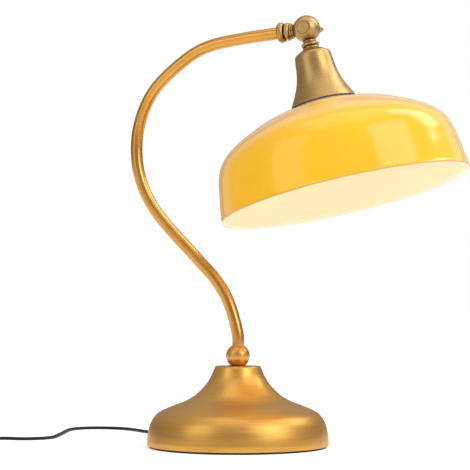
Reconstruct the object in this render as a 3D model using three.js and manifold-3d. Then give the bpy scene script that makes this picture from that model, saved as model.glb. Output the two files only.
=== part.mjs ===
// Desk lamp: weighted brass base, S-shaped arm, tilting head with a glass shade, mains cord with a switch.
// Millimetres, +Z up. The origin is the centre of the foot pad's underside; +X points to the head's side.
import * as THREE from 'three';
import { mergeVertices } from 'three/addons/utils/BufferGeometryUtils.js';
import Module from 'manifold-3d';

const wasm = await Module();
wasm.setup();

// ---- driving dimensions ----
const gap = 0.3;

// base
const baseRadius = 90;
const baseHeight = 80;
const baseWall = 1.5;
const neckRadius = 23;
const padThickness = 1.6;
const padInset = 2.2;
const plateThickness = 1;
const ledgeWidth = 0.9;
const weightThickness = 16;
const weightRadius = baseRadius - 10;
const recessRadius = 17;
const recessDepth = 11.5;
const plateScrewCircle = weightRadius - 20;
const plateScrewCount = 3;

// threaded pipe that clamps the base, and the fixings on it
const pipeRadius = 5;
const pipeBore = 3.9;
const nutFlats = 15;
const nutHeight = 3;
const washerRadius = 9;
const washerThickness = 1;
const weightWasherRadius = 11;

// arm
const tubeRadius = 6;
const tubeWall = 1.25;
const tubeSeat = baseHeight + 13;
const baseBallRadius = tubeRadius + 5.8;
const innerCableRadius = 1.9;
const armBow = 113;

// centre line of the arm, as shares of the bow's depth and of the rise from the tube's seat to the swivel
const armLine = [
  [0, 0.053], [-0.097, 0.164], [-0.212, 0.228], [-0.385, 0.292], [-0.812, 0.453], [-0.956, 0.551], [-1, 0.648],
  [-0.959, 0.745], [-0.819, 0.839], [-0.469, 0.939], [-0.271, 0.968], [0.068, 0.985],
];

// swivel between the arm and the head
const jointX = 73.4;
const jointZ = 411.7;
const armRise = THREE.MathUtils.degToRad(4.3);
const headTilt = THREE.MathUtils.degToRad(13.5);
const swivelRadius = 13.4;
const swivelFaceRadius = 7.75;
const swivelRoom = 0.7;
const swivelNeckRadius = 6.4;
const swivelPocketRadius = 8.4;
const swivelPocketDepth = 4.5;
const leadBore = 2.8;
const spigotRadius = tubeRadius - tubeWall - 2 * gap;
const collarNear = swivelRadius + 3.4;
const collarFar = collarNear + 12.4;
const collarBeadRadius = tubeRadius + 4;
const collarSecondBeadRadius = tubeRadius + 2.9;
const hubBeadRadius = tubeRadius + 1.8;
const tubeEndDistance = collarNear + 3.8;
const tubeStraight = 16;

// thumb key
const keyShankRadius = 2.5;
const keyReach = 32;
const keyBossRadius = 4.2;
const keyWingWidth = 17;
const keyWingThickness = 2.6;
const keyAngle = THREE.MathUtils.degToRad(55);

// head, as distances down the head's axis from the swivel centre
const ringHeight = 3.8;
const ringTop = swivelRadius + 0.9;
const ringBottom = ringTop + ringHeight;
const ringRadius = pipeRadius + 3.8;
const cupHeight = 57.4;
const cupTop = ringBottom + 0.9;
const cupBottom = cupTop + cupHeight;
const cupWall = 1.4;
const cupFlangeRadius = pipeRadius + 3.3;
const stemEnd = cupTop + 12;

// lampholder, glass and bulb
const bulbCapRadius = 13;
const screwShellRadius = bulbCapRadius + 0.9;
const screwShellWall = 0.5;
const holderWall = 1.8;
const holderTop = cupTop + 10;
const holderSplit = cupBottom - 22.4;
const holderEnd = cupBottom + 11.6;
const holderCapRadius = 15;
const holderBarrelRadius = screwShellRadius + screwShellWall + holderWall + 3.2;
const cupShoulderRadius = holderCapRadius + 2.8;
const cupMouthRadius = holderBarrelRadius + 13.4;
const glassTop = cupBottom + 0.9;
const glassHeight = 94.2;
const glassWall = 3;
const glassHole = holderBarrelRadius + 0.8;
const rimDistance = glassTop + glassHeight;
const rimRadius = 123.2;
const shadeRingRadius = holderBarrelRadius + 8.1;
const shadeRingThickness = 2.2;
const gasketThickness = 0.8;
const bulbRadius = 22.5;
const bulbReach = 50;
const bulbEnd = holderEnd + bulbReach;
const bulbWall = 0.9;

// outer line of the glass, as shares of the width from its hole to its rim and of its height
const glassLine = [
  [0, 0.004], [0.12, 0.011], [0.221, 0.042], [0.328, 0.071], [0.45, 0.117], [0.566, 0.177], [0.681, 0.241],
  [0.775, 0.305], [0.85, 0.376], [0.908, 0.464], [0.943, 0.581], [0.961, 0.697], [0.976, 0.804], [0.996, 0.984],
];

// cord, gland and what is on the cord
const cordWidth = 5.4;
const cordThickness = 3.4;
const exitAngle = THREE.MathUtils.degToRad(143.3);
const exitHeight = 10;
const glandRadius = 5.4;
const reliefLength = 25;
const reliefTipRadius = 3.5;
const coilTurnRadius = 29.9;
const coilColumnStep = 5.5;
const coilColumns = 4;
const coilLayers = 2;
const coilEntry = 90;
const tieThickness = 1.2;
const tieGap = 0.8;
const tieHalfWidth = 3;
const switchX = -307.6;
const switchY = -76.8;
const switchHeading = THREE.MathUtils.degToRad(233);
const switchLength = 62;
const switchWidth = 27;
const switchWall = 1.8;
const switchSplit = 8;
const switchHeight = 16;
const switchCordHeight = 4.6;
const rockerLength = 19;
const rockerWidth = 11.4;
const rockerPivotHeight = 13.2;
const rockerThrow = THREE.MathUtils.degToRad(8);
const plugTail = 54;
const plugHeading = THREE.MathUtils.degToRad(86);
const plugLength = 36;
const plugWidth = 35;
const plugThickness = 13.7;
const plugReliefLength = 22;
const pinRadius = 2;
const pinSpacing = 18.6;
const pinLength = 19;

// ---- materials ----
const brass = { color: 0xbe8c3c, roughness: 0.32, metalness: 1 };
const darkBrass = { color: 0xa5824b, roughness: 0.36, metalness: 1 };
const rawBrass = { color: 0xc9a45a, roughness: 0.3, metalness: 1 };
const steel = { color: 0xa8aaac, roughness: 0.35, metalness: 1 };
const castIron = { color: 0x3f4042, roughness: 0.8, metalness: 0.6 };
const blackPlastic = { color: 0x161616, roughness: 0.45, metalness: 0 };
const padRubber = { color: 0x111111, roughness: 0.85, metalness: 0 };
const cordVinyl = { color: 0x121213, roughness: 0.5, metalness: 0 };
const porcelain = { color: 0xf1ede2, roughness: 0.3, metalness: 0 };
const silicone = { color: 0xe8e4da, roughness: 0.6, metalness: 0 };
const amberGlass = { color: 0xf5be23, roughness: 0.08, metalness: 0 };
const bulbGlass = { color: 0xf6f2e6, roughness: 0.2, metalness: 0 };

// ---- solids ----
function toSolid(geometry) {
  const bare = geometry.index ? geometry.toNonIndexed() : geometry.clone();
  bare.deleteAttribute('normal');
  bare.deleteAttribute('uv');
  const merged = mergeVertices(bare, 1e-4);
  const corners = merged.index.array;
  const position = merged.attributes.position;
  const [a, b, c] = [new THREE.Vector3(), new THREE.Vector3(), new THREE.Vector3()];
  const triangles = [];
  let volume = 0;
  for (let i = 0; i < corners.length; i += 3) {
    const [p, q, r] = corners.slice(i, i + 3);
    if (p === q || q === r || r === p) continue;
    triangles.push([p, q, r]);
    a.fromBufferAttribute(position, p);
    b.fromBufferAttribute(position, q);
    c.fromBufferAttribute(position, r);
    volume += a.dot(b.cross(c));
  }
  const facing = volume < 0 ? triangles.map(([p, q, r]) => [p, r, q]) : triangles;
  return new wasm.Manifold(new wasm.Mesh({
    numProp: 3,
    vertProperties: Float32Array.from(position.array),
    triVerts: Uint32Array.from(facing.flat()),
  }));
}

function toGeometry(solid) {
  const mesh = solid.getMesh();
  const geometry = new THREE.BufferGeometry();
  geometry.setAttribute('position', new THREE.BufferAttribute(Float32Array.from(mesh.vertProperties), 3));
  geometry.setIndex(new THREE.BufferAttribute(Uint32Array.from(mesh.triVerts), 1));
  geometry.computeVertexNormals();
  return geometry;
}

// a solid turned about Z from [radius, height] pairs
function turned(profile, segments = 18) {
  const points = profile.map(([radius, height]) => new THREE.Vector2(radius, height));
  return toSolid(new THREE.LatheGeometry(points, segments).rotateX(Math.PI / 2));
}

// a closed turned profile, whose last point joins its first
function ring(profile, segments = 18) {
  return turned([...profile, profile[0]], segments);
}

function disc(radius, bottom, top, segments = 16) {
  return turned([[0, bottom], [radius, bottom], [radius, top], [0, top]], segments);
}

function washer(inner, outer, bottom, top, segments = 16) {
  return ring([[inner, bottom], [outer, bottom], [outer, top], [inner, top]], segments);
}

function block(x0, x1, y0, y1, z0, z1) {
  const geometry = new THREE.BoxGeometry(x1 - x0, y1 - y0, z1 - z0);
  return toSolid(geometry.translate((x0 + x1) / 2, (y0 + y1) / 2, (z0 + z1) / 2));
}

function hexNut(flats, hole, bottom, top) {
  const body = new THREE.CylinderGeometry(flats / Math.sqrt(3), flats / Math.sqrt(3), top - bottom, 6);
  body.rotateX(Math.PI / 2).translate(0, 0, (bottom + top) / 2);
  return toSolid(body).subtract(disc(hole, bottom - 1, top + 1, 16));
}

function turnX(solid) {
  return solid.rotate([0, 90, 0]);
}

function turnY(solid) {
  return solid.rotate([-90, 0, 0]);
}

// the polyline moved sideways by a distance, to the left of its direction
function offsetLine(points, distance) {
  return points.map((point, i) => {
    const before = points[Math.max(i - 1, 0)];
    const after = points[Math.min(i + 1, points.length - 1)];
    const dx = after[0] - before[0];
    const dy = after[1] - before[1];
    const length = Math.hypot(dx, dy);
    return [point[0] - (dy / length) * distance, point[1] + (dx / length) * distance];
  });
}

function smoothLine(points, count) {
  const curve = new THREE.SplineCurve(points.map(([x, y]) => new THREE.Vector2(x, y)));
  return curve.getSpacedPoints(count).map((p) => [p.x, p.y]);
}

function outline(points) {
  return new THREE.Shape(points.map(([x, y]) => new THREE.Vector2(x, y)));
}

function roundedBox(length, width, corner, bottom, top) {
  const shape = new THREE.Shape();
  const x = length / 2 - corner;
  const y = width / 2 - corner;
  shape.absarc(x, y, corner, 0, Math.PI / 2);
  shape.absarc(-x, y, corner, Math.PI / 2, Math.PI);
  shape.absarc(-x, -y, corner, Math.PI, 1.5 * Math.PI);
  shape.absarc(x, -y, corner, 1.5 * Math.PI, 2 * Math.PI);
  const settings = { depth: top - bottom, bevelEnabled: false, curveSegments: 4 };
  const geometry = new THREE.ExtrudeGeometry(shape, settings);
  return toSolid(geometry.translate(0, 0, bottom));
}

function tubeAlong(curve, radius, bore, steps, halfSides) {
  const shape = new THREE.Shape().absarc(0, 0, radius, 0, 2 * Math.PI);
  if (bore > 0) shape.holes.push(new THREE.Path().absarc(0, 0, bore, 0, 2 * Math.PI));
  const settings = { steps, extrudePath: curve, bevelEnabled: false, curveSegments: halfSides };
  return toSolid(new THREE.ExtrudeGeometry(shape, settings));
}

const lamp = new THREE.Group();
lamp.name = 'desk_lamp';

function add(group, name, solid, finish) {
  const mesh = new THREE.Mesh(toGeometry(solid), new THREE.MeshStandardMaterial(finish));
  mesh.name = name;
  group.add(mesh);
}

// ---- base ----
const rimHeight = padThickness + gap;
const plateTop = rimHeight + plateThickness;
const ledgeHeight = plateTop + gap;
const weightTop = ledgeHeight + weightThickness;
const recessTop = ledgeHeight + recessDepth;
const exitDirection = new THREE.Vector3(Math.cos(exitAngle), Math.sin(exitAngle), 0);

function alongExit(solid) {
  return solid.rotate([0, 0, THREE.MathUtils.radToDeg(exitAngle)]);
}

// outer line of the shell: upright foot, round shoulder, shallow slope, flare up to the neck
function shellLine() {
  const top = baseHeight;
  const out = baseRadius;
  return smoothLine([
    [out, 0.088 * top], [out - 0.8, 0.181 * top], [out - 2.8, 0.275 * top], [out - 6.2, 0.358 * top],
    [out - 11.6, 0.428 * top], [out - 23.5, 0.498 * top], [out - 37.5, 0.565 * top],
    [neckRadius + 19.8, 0.635 * top], [neckRadius + 13.4, 0.708 * top], [neckRadius + 8.3, 0.779 * top],
    [neckRadius + 4.2, 0.86 * top], [neckRadius + 1.5, 0.933 * top], [neckRadius, top - 1.6],
  ], 12);
}

const shellOuter = [[baseRadius, rimHeight], ...shellLine(), [neckRadius - 1.5, baseHeight]];
const ledgeRadius = baseRadius - baseWall - ledgeWidth;
const shellInner = offsetLine(shellLine(), baseWall).map(([r, z]) => [Math.min(r, ledgeRadius), z]);
const shellRoof = baseHeight - baseWall;
const pipeHole = pipeRadius + gap;
const glandHole = turnX(disc(glandRadius + gap, baseRadius - 8, baseRadius + 8));
const shell = ring([
  ...shellOuter,
  [pipeHole, baseHeight],
  [pipeHole, shellRoof],
  ...shellInner.filter(([, z]) => z < shellRoof - 0.5).reverse(),
  [ledgeRadius, ledgeHeight],
  [baseRadius - baseWall, ledgeHeight],
  [baseRadius - baseWall, rimHeight],
], 32).subtract(alongExit(glandHole.translate(0, 0, exitHeight)));
add(lamp, 'base_shell', shell, brass);

add(lamp, 'foot_pad', disc(baseRadius - padInset, 0, padThickness, 32), padRubber);

const plateRadius = baseRadius - baseWall - gap;
const screwHead = 3.4;
const screwShank = 1.9;
const screwSink = 2;
const screwDepth = 9;

// countersunk screw standing on its head, with its head's face at height zero
function countersunk(extra) {
  const bottom = -extra;
  return turned([
    [0, bottom], [screwHead + extra, bottom], [screwShank + extra, screwSink + extra],
    [screwShank + extra, screwDepth + extra], [0, screwDepth + extra],
  ], 12);
}

const screwPlaces = [];
for (let i = 0; i < plateScrewCount; i += 1) {
  const angle = (2 * Math.PI * i) / plateScrewCount + THREE.MathUtils.degToRad(30);
  screwPlaces.push([plateScrewCircle * Math.cos(angle), plateScrewCircle * Math.sin(angle), rimHeight]);
}

let plate = disc(plateRadius, rimHeight, plateTop, 32);
let weight = turned([
  [0, ledgeHeight], [weightRadius, ledgeHeight], [weightRadius, weightTop - 3], [weightRadius - 3, weightTop],
  [0, weightTop],
], 24);
weight = weight.subtract(disc(recessRadius, ledgeHeight - 1, recessTop, 20));
weight = weight.subtract(disc(pipeHole, ledgeHeight, weightTop + 1, 16));
weight = weight.subtract(alongExit(block(
  recessRadius - 4, weightRadius + 5, -glandRadius - 3, glandRadius + 3, ledgeHeight - 1, exitHeight + glandRadius + 1,
)));
screwPlaces.forEach((place, i) => {
  plate = plate.subtract(countersunk(gap).translate(place));
  weight = weight.subtract(countersunk(gap).translate(place));
  add(lamp, `plate_screw_${i + 1}`, countersunk(0).translate(place), steel);
});
add(lamp, 'base_plate', plate, steel);
add(lamp, 'base_weight', weight, castIron);

// pipe, nuts and washers: they pull the neck down on to the weight
const washerFloor = recessTop - gap - washerThickness;
const lowerNutTop = washerFloor - gap;
const pipeFoot = lowerNutTop - nutHeight - 0.2;
const neckWasherTop = shellRoof - gap;
const neckNutTop = neckWasherTop - washerThickness - gap;
const pipeTop = tubeSeat - 1 - gap;
add(lamp, 'threaded_pipe', washer(pipeBore, pipeRadius, pipeFoot, pipeTop), steel);
add(lamp, 'weight_washer', washer(pipeHole, weightWasherRadius, washerFloor, recessTop - gap), steel);
add(lamp, 'weight_nut', hexNut(nutFlats, pipeHole, lowerNutTop - nutHeight, lowerNutTop), steel);
add(lamp, 'neck_washer', washer(pipeHole, washerRadius, neckWasherTop - washerThickness, neckWasherTop), steel);
add(lamp, 'neck_nut', hexNut(nutFlats, pipeHole, neckNutTop - nutHeight, neckNutTop), steel);

// ball between the neck and the tube, cut flat where it sits on the neck
const ballFoot = baseHeight + gap;
const ballCentre = ballFoot + 9.6;
function ballLine(radius, centre, from, to, count) {
  const points = [];
  for (let i = 0; i <= count; i += 1) {
    const angle = from + ((to - from) * i) / count;
    points.push([radius * Math.cos(angle), centre + radius * Math.sin(angle)]);
  }
  return points;
}
const footAngle = Math.asin((ballFoot - ballCentre) / baseBallRadius);
const topAngle = Math.acos((tubeRadius + gap) / baseBallRadius);
add(lamp, 'base_ball', ring([
  ...ballLine(baseBallRadius, ballCentre, footAngle, topAngle, 7),
  [tubeRadius + gap, tubeSeat - gap],
  [pipeHole, tubeSeat - gap],
  [pipeHole, ballFoot],
], 20), brass);

// ---- arm ----
const joint = new THREE.Vector3(jointX, 0, jointZ);
const armDirection = new THREE.Vector3(Math.cos(armRise), 0, Math.sin(armRise));
function armPoint(distance) {
  return joint.clone().addScaledVector(armDirection, -distance);
}
function armCurve(start, endDistance) {
  const rise = jointZ - tubeSeat;
  const middle = armLine.map(([x, z]) => new THREE.Vector3(x * armBow, 0, tubeSeat + z * rise));
  const end = [armPoint(tubeEndDistance + tubeStraight), armPoint(endDistance)];
  return new THREE.CatmullRomCurve3([new THREE.Vector3(0, 0, start), ...middle, ...end], false, 'centripetal');
}
const tubeCurve = armCurve(tubeSeat, tubeEndDistance);
add(lamp, 'arm_tube', tubeAlong(tubeCurve, tubeRadius, tubeRadius - tubeWall, 34, 5), brass);

// cable from the gland through the base, the pipe and the tube, up to the swivel
const cableLow = exitHeight - 3;
const cableRoute = [
  exitDirection.clone().multiplyScalar(baseRadius + 16).setZ(exitHeight),
  exitDirection.clone().multiplyScalar(baseRadius - 6).setZ(exitHeight),
  exitDirection.clone().multiplyScalar(50).setZ(cableLow),
  exitDirection.clone().multiplyScalar(12).setZ(cableLow - 1.4),
  exitDirection.clone().multiplyScalar(5).setZ(cableLow - 1.6),
  exitDirection.clone().multiplyScalar(1).setZ(cableLow - 0.4),
  new THREE.Vector3(0, 0, pipeFoot - 0.4),
  new THREE.Vector3(0, 0, pipeFoot + 8),
  new THREE.Vector3(0, 0, 40),
  new THREE.Vector3(0, 0, tubeSeat),
  ...armCurve(tubeSeat, 0).points.slice(1, -2),
  armPoint(tubeEndDistance + tubeStraight),
  armPoint(swivelRadius + swivelRoom + gap),
];
const cableCurve = new THREE.CatmullRomCurve3(cableRoute, false, 'centripetal');
add(lamp, 'inner_cable', tubeAlong(cableCurve, innerCableRadius, 0, 74, 3), cordVinyl);

// everything on the arm's end is turned about the arm's direction, with the swivel centre as its origin
const armEnd = new THREE.Group();
armEnd.position.copy(joint);
armEnd.rotation.y = -armRise;
lamp.add(armEnd);

const sleeve = tubeRadius + gap;
add(armEnd, 'arm_collar', turnX(ring([
  [sleeve, -collarFar],
  [collarBeadRadius - 1.6, -collarFar],
  [collarBeadRadius, -collarFar + 2],
  [collarBeadRadius, -collarFar + 4.2],
  [collarBeadRadius - 1.6, -collarFar + 6.2],
  [sleeve + 0.5, -collarFar + 6.6],
  [sleeve + 0.5, -collarFar + 7.4],
  [collarSecondBeadRadius - 1, -collarFar + 7.8],
  [collarSecondBeadRadius, -collarNear - 3],
  [collarSecondBeadRadius, -collarNear - 1.4],
  [collarSecondBeadRadius - 1.2, -collarNear],
  [spigotRadius + gap, -collarNear],
  [spigotRadius + gap, -tubeEndDistance + gap],
  [sleeve, -tubeEndDistance + gap],
], 20)), brass);

// ---- swivel ----
const jointHalf = gap / 2;
const faceDepth = Math.sqrt(swivelRadius ** 2 - swivelFaceRadius ** 2);

// one half of the ball, on the -Y side, with its flat face and the pocket that the leads pass through
function halfBall() {
  const angle = Math.asin(jointHalf / swivelRadius);
  const faceAngle = Math.asin(faceDepth / swivelRadius);
  const profile = [[0, jointHalf], ...ballLine(swivelRadius, 0, angle, faceAngle, 5), [0, faceDepth]];
  return turned(profile, 20).rotate([90, 0, 0]);
}
const roomRadius = swivelRadius + swivelRoom;
const ballRoom = turned([[0, -roomRadius], ...ballLine(roomRadius, 0, -1.5, 1.5, 10), [0, roomRadius]], 20);
const farSide = block(-40, 40, -jointHalf, 40, -40, 40);
const pocket = turnY(washer(keyShankRadius + 1.6, swivelPocketRadius, -swivelPocketDepth, swivelPocketDepth));

// the arm's half: hub, bead and spigot on -X, with room scooped for the head's half
const hub = turnX(turned([
  [0, -collarNear - 7], [spigotRadius, -collarNear - 7], [spigotRadius, -collarNear + gap],
  [hubBeadRadius - 0.6, -collarNear + gap], [hubBeadRadius, -collarNear + 1.1],
  [hubBeadRadius - 0.5, -collarNear + 2], [swivelNeckRadius, -collarNear + 2.4], [swivelNeckRadius, -6], [0, -6],
])).subtract(ballRoom.intersect(farSide));
const leadTunnel = turnX(disc(leadBore, -60, -5.5, 14));
const keyHole = turnY(disc(keyShankRadius + gap, -faceDepth + 3, 40, 16));
const armHalf = halfBall().add(hub).subtract(leadTunnel).subtract(pocket).subtract(keyHole);
add(armEnd, 'swivel_arm_half', armHalf, darkBrass);

// the head's half, its stem and all that hangs on it: -Z runs down the head's axis
const head = new THREE.Group();
head.position.copy(joint);
head.rotation.y = -headTilt;
lamp.add(head);

const stem = turned([
  [0, -stemEnd], [pipeRadius - 0.6, -stemEnd], [pipeRadius, -stemEnd + 0.8], [pipeRadius, -ringTop],
  [swivelNeckRadius, -ringTop + gap], [swivelNeckRadius, -6], [0, -6],
]).subtract(ballRoom.intersect(farSide.rotate([0, 0, 180])));
const stemTunnel = disc(leadBore, -60, -5.5, 14);
const headHalf = halfBall().rotate([0, 0, 180]).add(stem).subtract(stemTunnel).subtract(pocket).subtract(keyHole);
add(head, 'swivel_head_half', headHalf, darkBrass);
add(head, 'head_leads', disc(innerCableRadius, -stemEnd - 1, -swivelRadius - swivelRoom - gap, 10), cordVinyl);

const stemHole = pipeRadius + gap;
add(head, 'neck_ring', ring([
  [stemHole, -ringTop - gap], [ringRadius - 1.2, -ringTop - gap], [ringRadius, -ringTop - 1.5],
  [ringRadius, -ringBottom + 1.2], [ringRadius - 1.2, -ringBottom], [stemHole, -ringBottom],
], 20), darkBrass);

// thumb key: shank through the head's half into the arm's half, boss and flat wing at the back
const washerStart = faceDepth + gap;
const keyWasher = 0.8;
const springWasher = 1;
const bossStart = washerStart + keyWasher + springWasher + 2 * gap;
const wingStart = bossStart + 2.6;
const key = new THREE.Group();
key.position.copy(joint);
key.rotation.y = keyAngle;
lamp.add(key);
const wingShape = new THREE.Shape();
const wingHalf = keyWingWidth / 2;
const wingCorner = 3;
wingShape.moveTo(-keyBossRadius + 0.6, wingStart - 1);
wingShape.lineTo(keyBossRadius - 0.6, wingStart - 1);
wingShape.lineTo(wingHalf, wingStart + 4);
wingShape.absarc(wingHalf - wingCorner, keyReach - wingCorner, wingCorner, 0, Math.PI / 2);
wingShape.lineTo(0, keyReach - 1);
wingShape.absarc(-wingHalf + wingCorner, keyReach - wingCorner, wingCorner, Math.PI / 2, Math.PI);
wingShape.lineTo(-wingHalf, wingStart + 4);
const wingGeometry = new THREE.ExtrudeGeometry(wingShape, {
  depth: keyWingThickness, bevelEnabled: false, curveSegments: 4,
});
wingGeometry.translate(0, 0, -keyWingThickness / 2).rotateY(Math.PI / 2);
const shank = turnY(turned([
  [0, -faceDepth + 4], [keyShankRadius, -faceDepth + 4], [keyShankRadius, bossStart], [keyBossRadius, bossStart],
  [keyBossRadius, wingStart], [keyBossRadius - 1.2, wingStart + 1.2], [0, wingStart + 1.2],
], 14));
add(key, 'thumb_key', toSolid(wingGeometry).add(shank), darkBrass);
const keyWasherSolid = turnY(washer(keyShankRadius + gap, 5.4, washerStart, washerStart + keyWasher));
add(key, 'key_washer', keyWasherSolid, rawBrass);
const springStart = washerStart + keyWasher + gap;
const springSolid = turnY(washer(keyShankRadius + gap, 4.6, springStart, springStart + springWasher));
add(key, 'spring_washer', springSolid, steel);

// ---- socket cup ----
const roofDrop = 3.3;
const shoulderDrop = 8.2;
const cupLine = smoothLine([
  [cupShoulderRadius, -cupTop - shoulderDrop], [cupShoulderRadius + 0.8, -cupTop - 14],
  [cupShoulderRadius + 1.5, -cupTop - 21], [cupShoulderRadius + 2.6, -cupTop - 28],
  [holderBarrelRadius + 2.9, -cupBottom + 22.4], [holderBarrelRadius + 5.2, -cupBottom + 16.4],
  [holderBarrelRadius + 8, -cupBottom + 10.4], [holderBarrelRadius + 11, -cupBottom + 4.8],
  [cupMouthRadius, -cupBottom],
], 7);
const cupInner = offsetLine(cupLine, -cupWall);
cupInner[cupInner.length - 1] = [cupMouthRadius - cupWall, -cupBottom];
const roofStart = cupTop + roofDrop;
add(head, 'socket_cup', ring([
  [stemHole, -cupTop], [cupFlangeRadius - 0.5, -cupTop], [cupFlangeRadius, -cupTop - 0.6],
  [cupFlangeRadius, -cupTop - 1.5], [cupShoulderRadius - 1, -cupTop - shoulderDrop + 1.6],
  ...cupLine,
  ...cupInner.reverse(),
  [cupShoulderRadius - cupWall - 0.6, -cupTop - shoulderDrop - 0.2],
  [cupFlangeRadius, -roofStart],
  [stemHole, -roofStart],
], 24), darkBrass);
const cupWasherTop = roofStart + gap;
const cupNutTop = cupWasherTop + washerThickness + gap;
const cupNutHeight = 3.2;
add(head, 'cup_washer', washer(stemHole, 7.8, -cupWasherTop - washerThickness, -cupWasherTop), steel);
add(head, 'cup_nut', hexNut(nutFlats - 1, stemHole, -cupNutTop - cupNutHeight, -cupNutTop), steel);

// ---- lampholder ----
const capHub = pipeRadius + gap;
add(head, 'holder_cap', ring([
  [capHub, -holderTop], [holderCapRadius - 4, -holderTop], [holderCapRadius, -holderTop - 4],
  [holderCapRadius, -holderSplit + gap], [holderCapRadius - holderWall, -holderSplit + gap],
  [holderCapRadius - holderWall, -holderTop - 5], [holderCapRadius - 5, -holderTop - holderWall],
  [capHub, -holderTop - holderWall],
]), porcelain);
const barrelInner = holderBarrelRadius - holderWall;
add(head, 'holder_barrel', ring([
  [holderCapRadius - 5, -holderSplit], [holderCapRadius, -holderSplit],
  [holderBarrelRadius, -holderSplit - 4], [holderBarrelRadius, -holderEnd],
  [barrelInner, -holderEnd], [barrelInner, -holderSplit - 5.4], [holderCapRadius - 2, -holderSplit - holderWall],
  [holderCapRadius - 5, -holderSplit - holderWall],
], 20), porcelain);
const shellTop = holderSplit + 6;
add(head, 'screw_shell', ring([
  [screwShellRadius, -shellTop], [screwShellRadius + screwShellWall, -shellTop],
  [screwShellRadius + screwShellWall, -holderEnd + 2], [screwShellRadius, -holderEnd + 2],
]), rawBrass);
const contactTop = holderSplit + 3.2;
add(head, 'centre_contact', block(-9, 5, -2.2, 2.2, -contactTop - 0.8, -contactTop), rawBrass);

// ---- glass shade, held between two rings on the barrel ----
const shadeLine = smoothLine(
  glassLine.map(([out, down]) => [glassHole + out * (rimRadius - glassHole), -glassTop - down * glassHeight]), 13,
);
const shadeInner = offsetLine(shadeLine, -glassWall);
shadeInner[0] = [glassHole, shadeInner[0][1]];
const rimRound = [
  [rimRadius, -rimDistance + 0.6], [rimRadius - 0.8, -rimDistance], [rimRadius - glassWall + 0.6, -rimDistance],
];
add(head, 'glass_shade', ring([...shadeLine, ...rimRound, ...shadeInner.reverse()], 30), amberGlass);

function shadeRing(name, top, thickness, outer, finish) {
  add(head, name, washer(holderBarrelRadius + gap, outer, -top - thickness, -top, 20), finish);
}
const upperGasketTop = glassTop - gasketThickness - gap;
shadeRing('upper_gasket', upperGasketTop, gasketThickness, shadeRingRadius, silicone);
const upperRingTop = upperGasketTop - gap - shadeRingThickness;
shadeRing('upper_shade_ring', upperRingTop, shadeRingThickness, shadeRingRadius - 0.5, porcelain);
const lowerGasketTop = glassTop + glassWall + 1.9;
shadeRing('lower_gasket', lowerGasketTop, gasketThickness, shadeRingRadius - 1.5, silicone);
const lowerRingTop = lowerGasketTop + gasketThickness + gap;
shadeRing('lower_shade_ring', lowerRingTop, shadeRingThickness, shadeRingRadius - 0.5, porcelain);

// ---- bulb: thin metal cap and thin glass, both open where they meet ----
const bulbCapTop = contactTop + 0.8 + gap;
const bulbCapEnd = holderEnd - 1;
const capInner = bulbCapRadius - bulbWall;
add(head, 'bulb_cap', turned([
  [0, -bulbCapTop], [4, -bulbCapTop], [bulbCapRadius - 2, -bulbCapTop - 4], [bulbCapRadius, -bulbCapTop - 5],
  [bulbCapRadius, -bulbCapEnd], [capInner, -bulbCapEnd], [capInner, -bulbCapTop - 5.6],
  [4, -bulbCapTop - bulbWall], [0, -bulbCapTop - bulbWall],
]), steel);
const bulbCentre = bulbEnd - bulbRadius;
const throatRadius = bulbCapRadius - 0.6;
const throatAngle = Math.acos(throatRadius / bulbRadius);
function globeLine(radius, throat, from) {
  const arc = ballLine(radius, -bulbCentre, from, -Math.PI / 2 + 0.02, 8).slice(0, -1);
  return [[throat, -bulbCapEnd - gap], ...arc, [0, -bulbCentre - radius]];
}
const globeInner = globeLine(bulbRadius - bulbWall, throatRadius - bulbWall, throatAngle);
add(head, 'bulb_globe', turned([
  ...globeInner.reverse(), ...globeLine(bulbRadius, throatRadius, throatAngle),
]), bulbGlass);

// ---- cord gland and strain relief ----
const glandBore = innerCableRadius + 2 * gap;
const wallInside = ledgeRadius;
const gland = ring([
  [glandBore, wallInside - 2.4], [glandRadius + 1.8, wallInside - 2.4],
  [glandRadius + 1.8, wallInside - 1.1], [glandRadius, wallInside - 1.1],
  [glandRadius, baseRadius + 0.8], [glandRadius + 1.5, baseRadius + 0.8], [glandRadius + 1.5, baseRadius + 2.4],
  [glandRadius, baseRadius + 2.8], [reliefTipRadius, baseRadius + reliefLength],
  [glandBore, baseRadius + reliefLength],
], 14);
add(lamp, 'cord_strain_relief', alongExit(turnX(gland).translate(0, 0, exitHeight)), blackPlastic);

// ---- free cord ----
const [halfThick, halfWide, cut] = [cordThickness / 2, cordWidth / 2, 1];
const cordSection = outline([
  [halfThick, -halfWide + cut], [halfThick, halfWide - cut], [halfThick - cut, halfWide], [-halfThick + cut, halfWide],
  [-halfThick, halfWide - cut], [-halfThick, -halfWide + cut], [-halfThick + cut, -halfWide],
  [halfThick - cut, -halfWide],
]);

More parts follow.
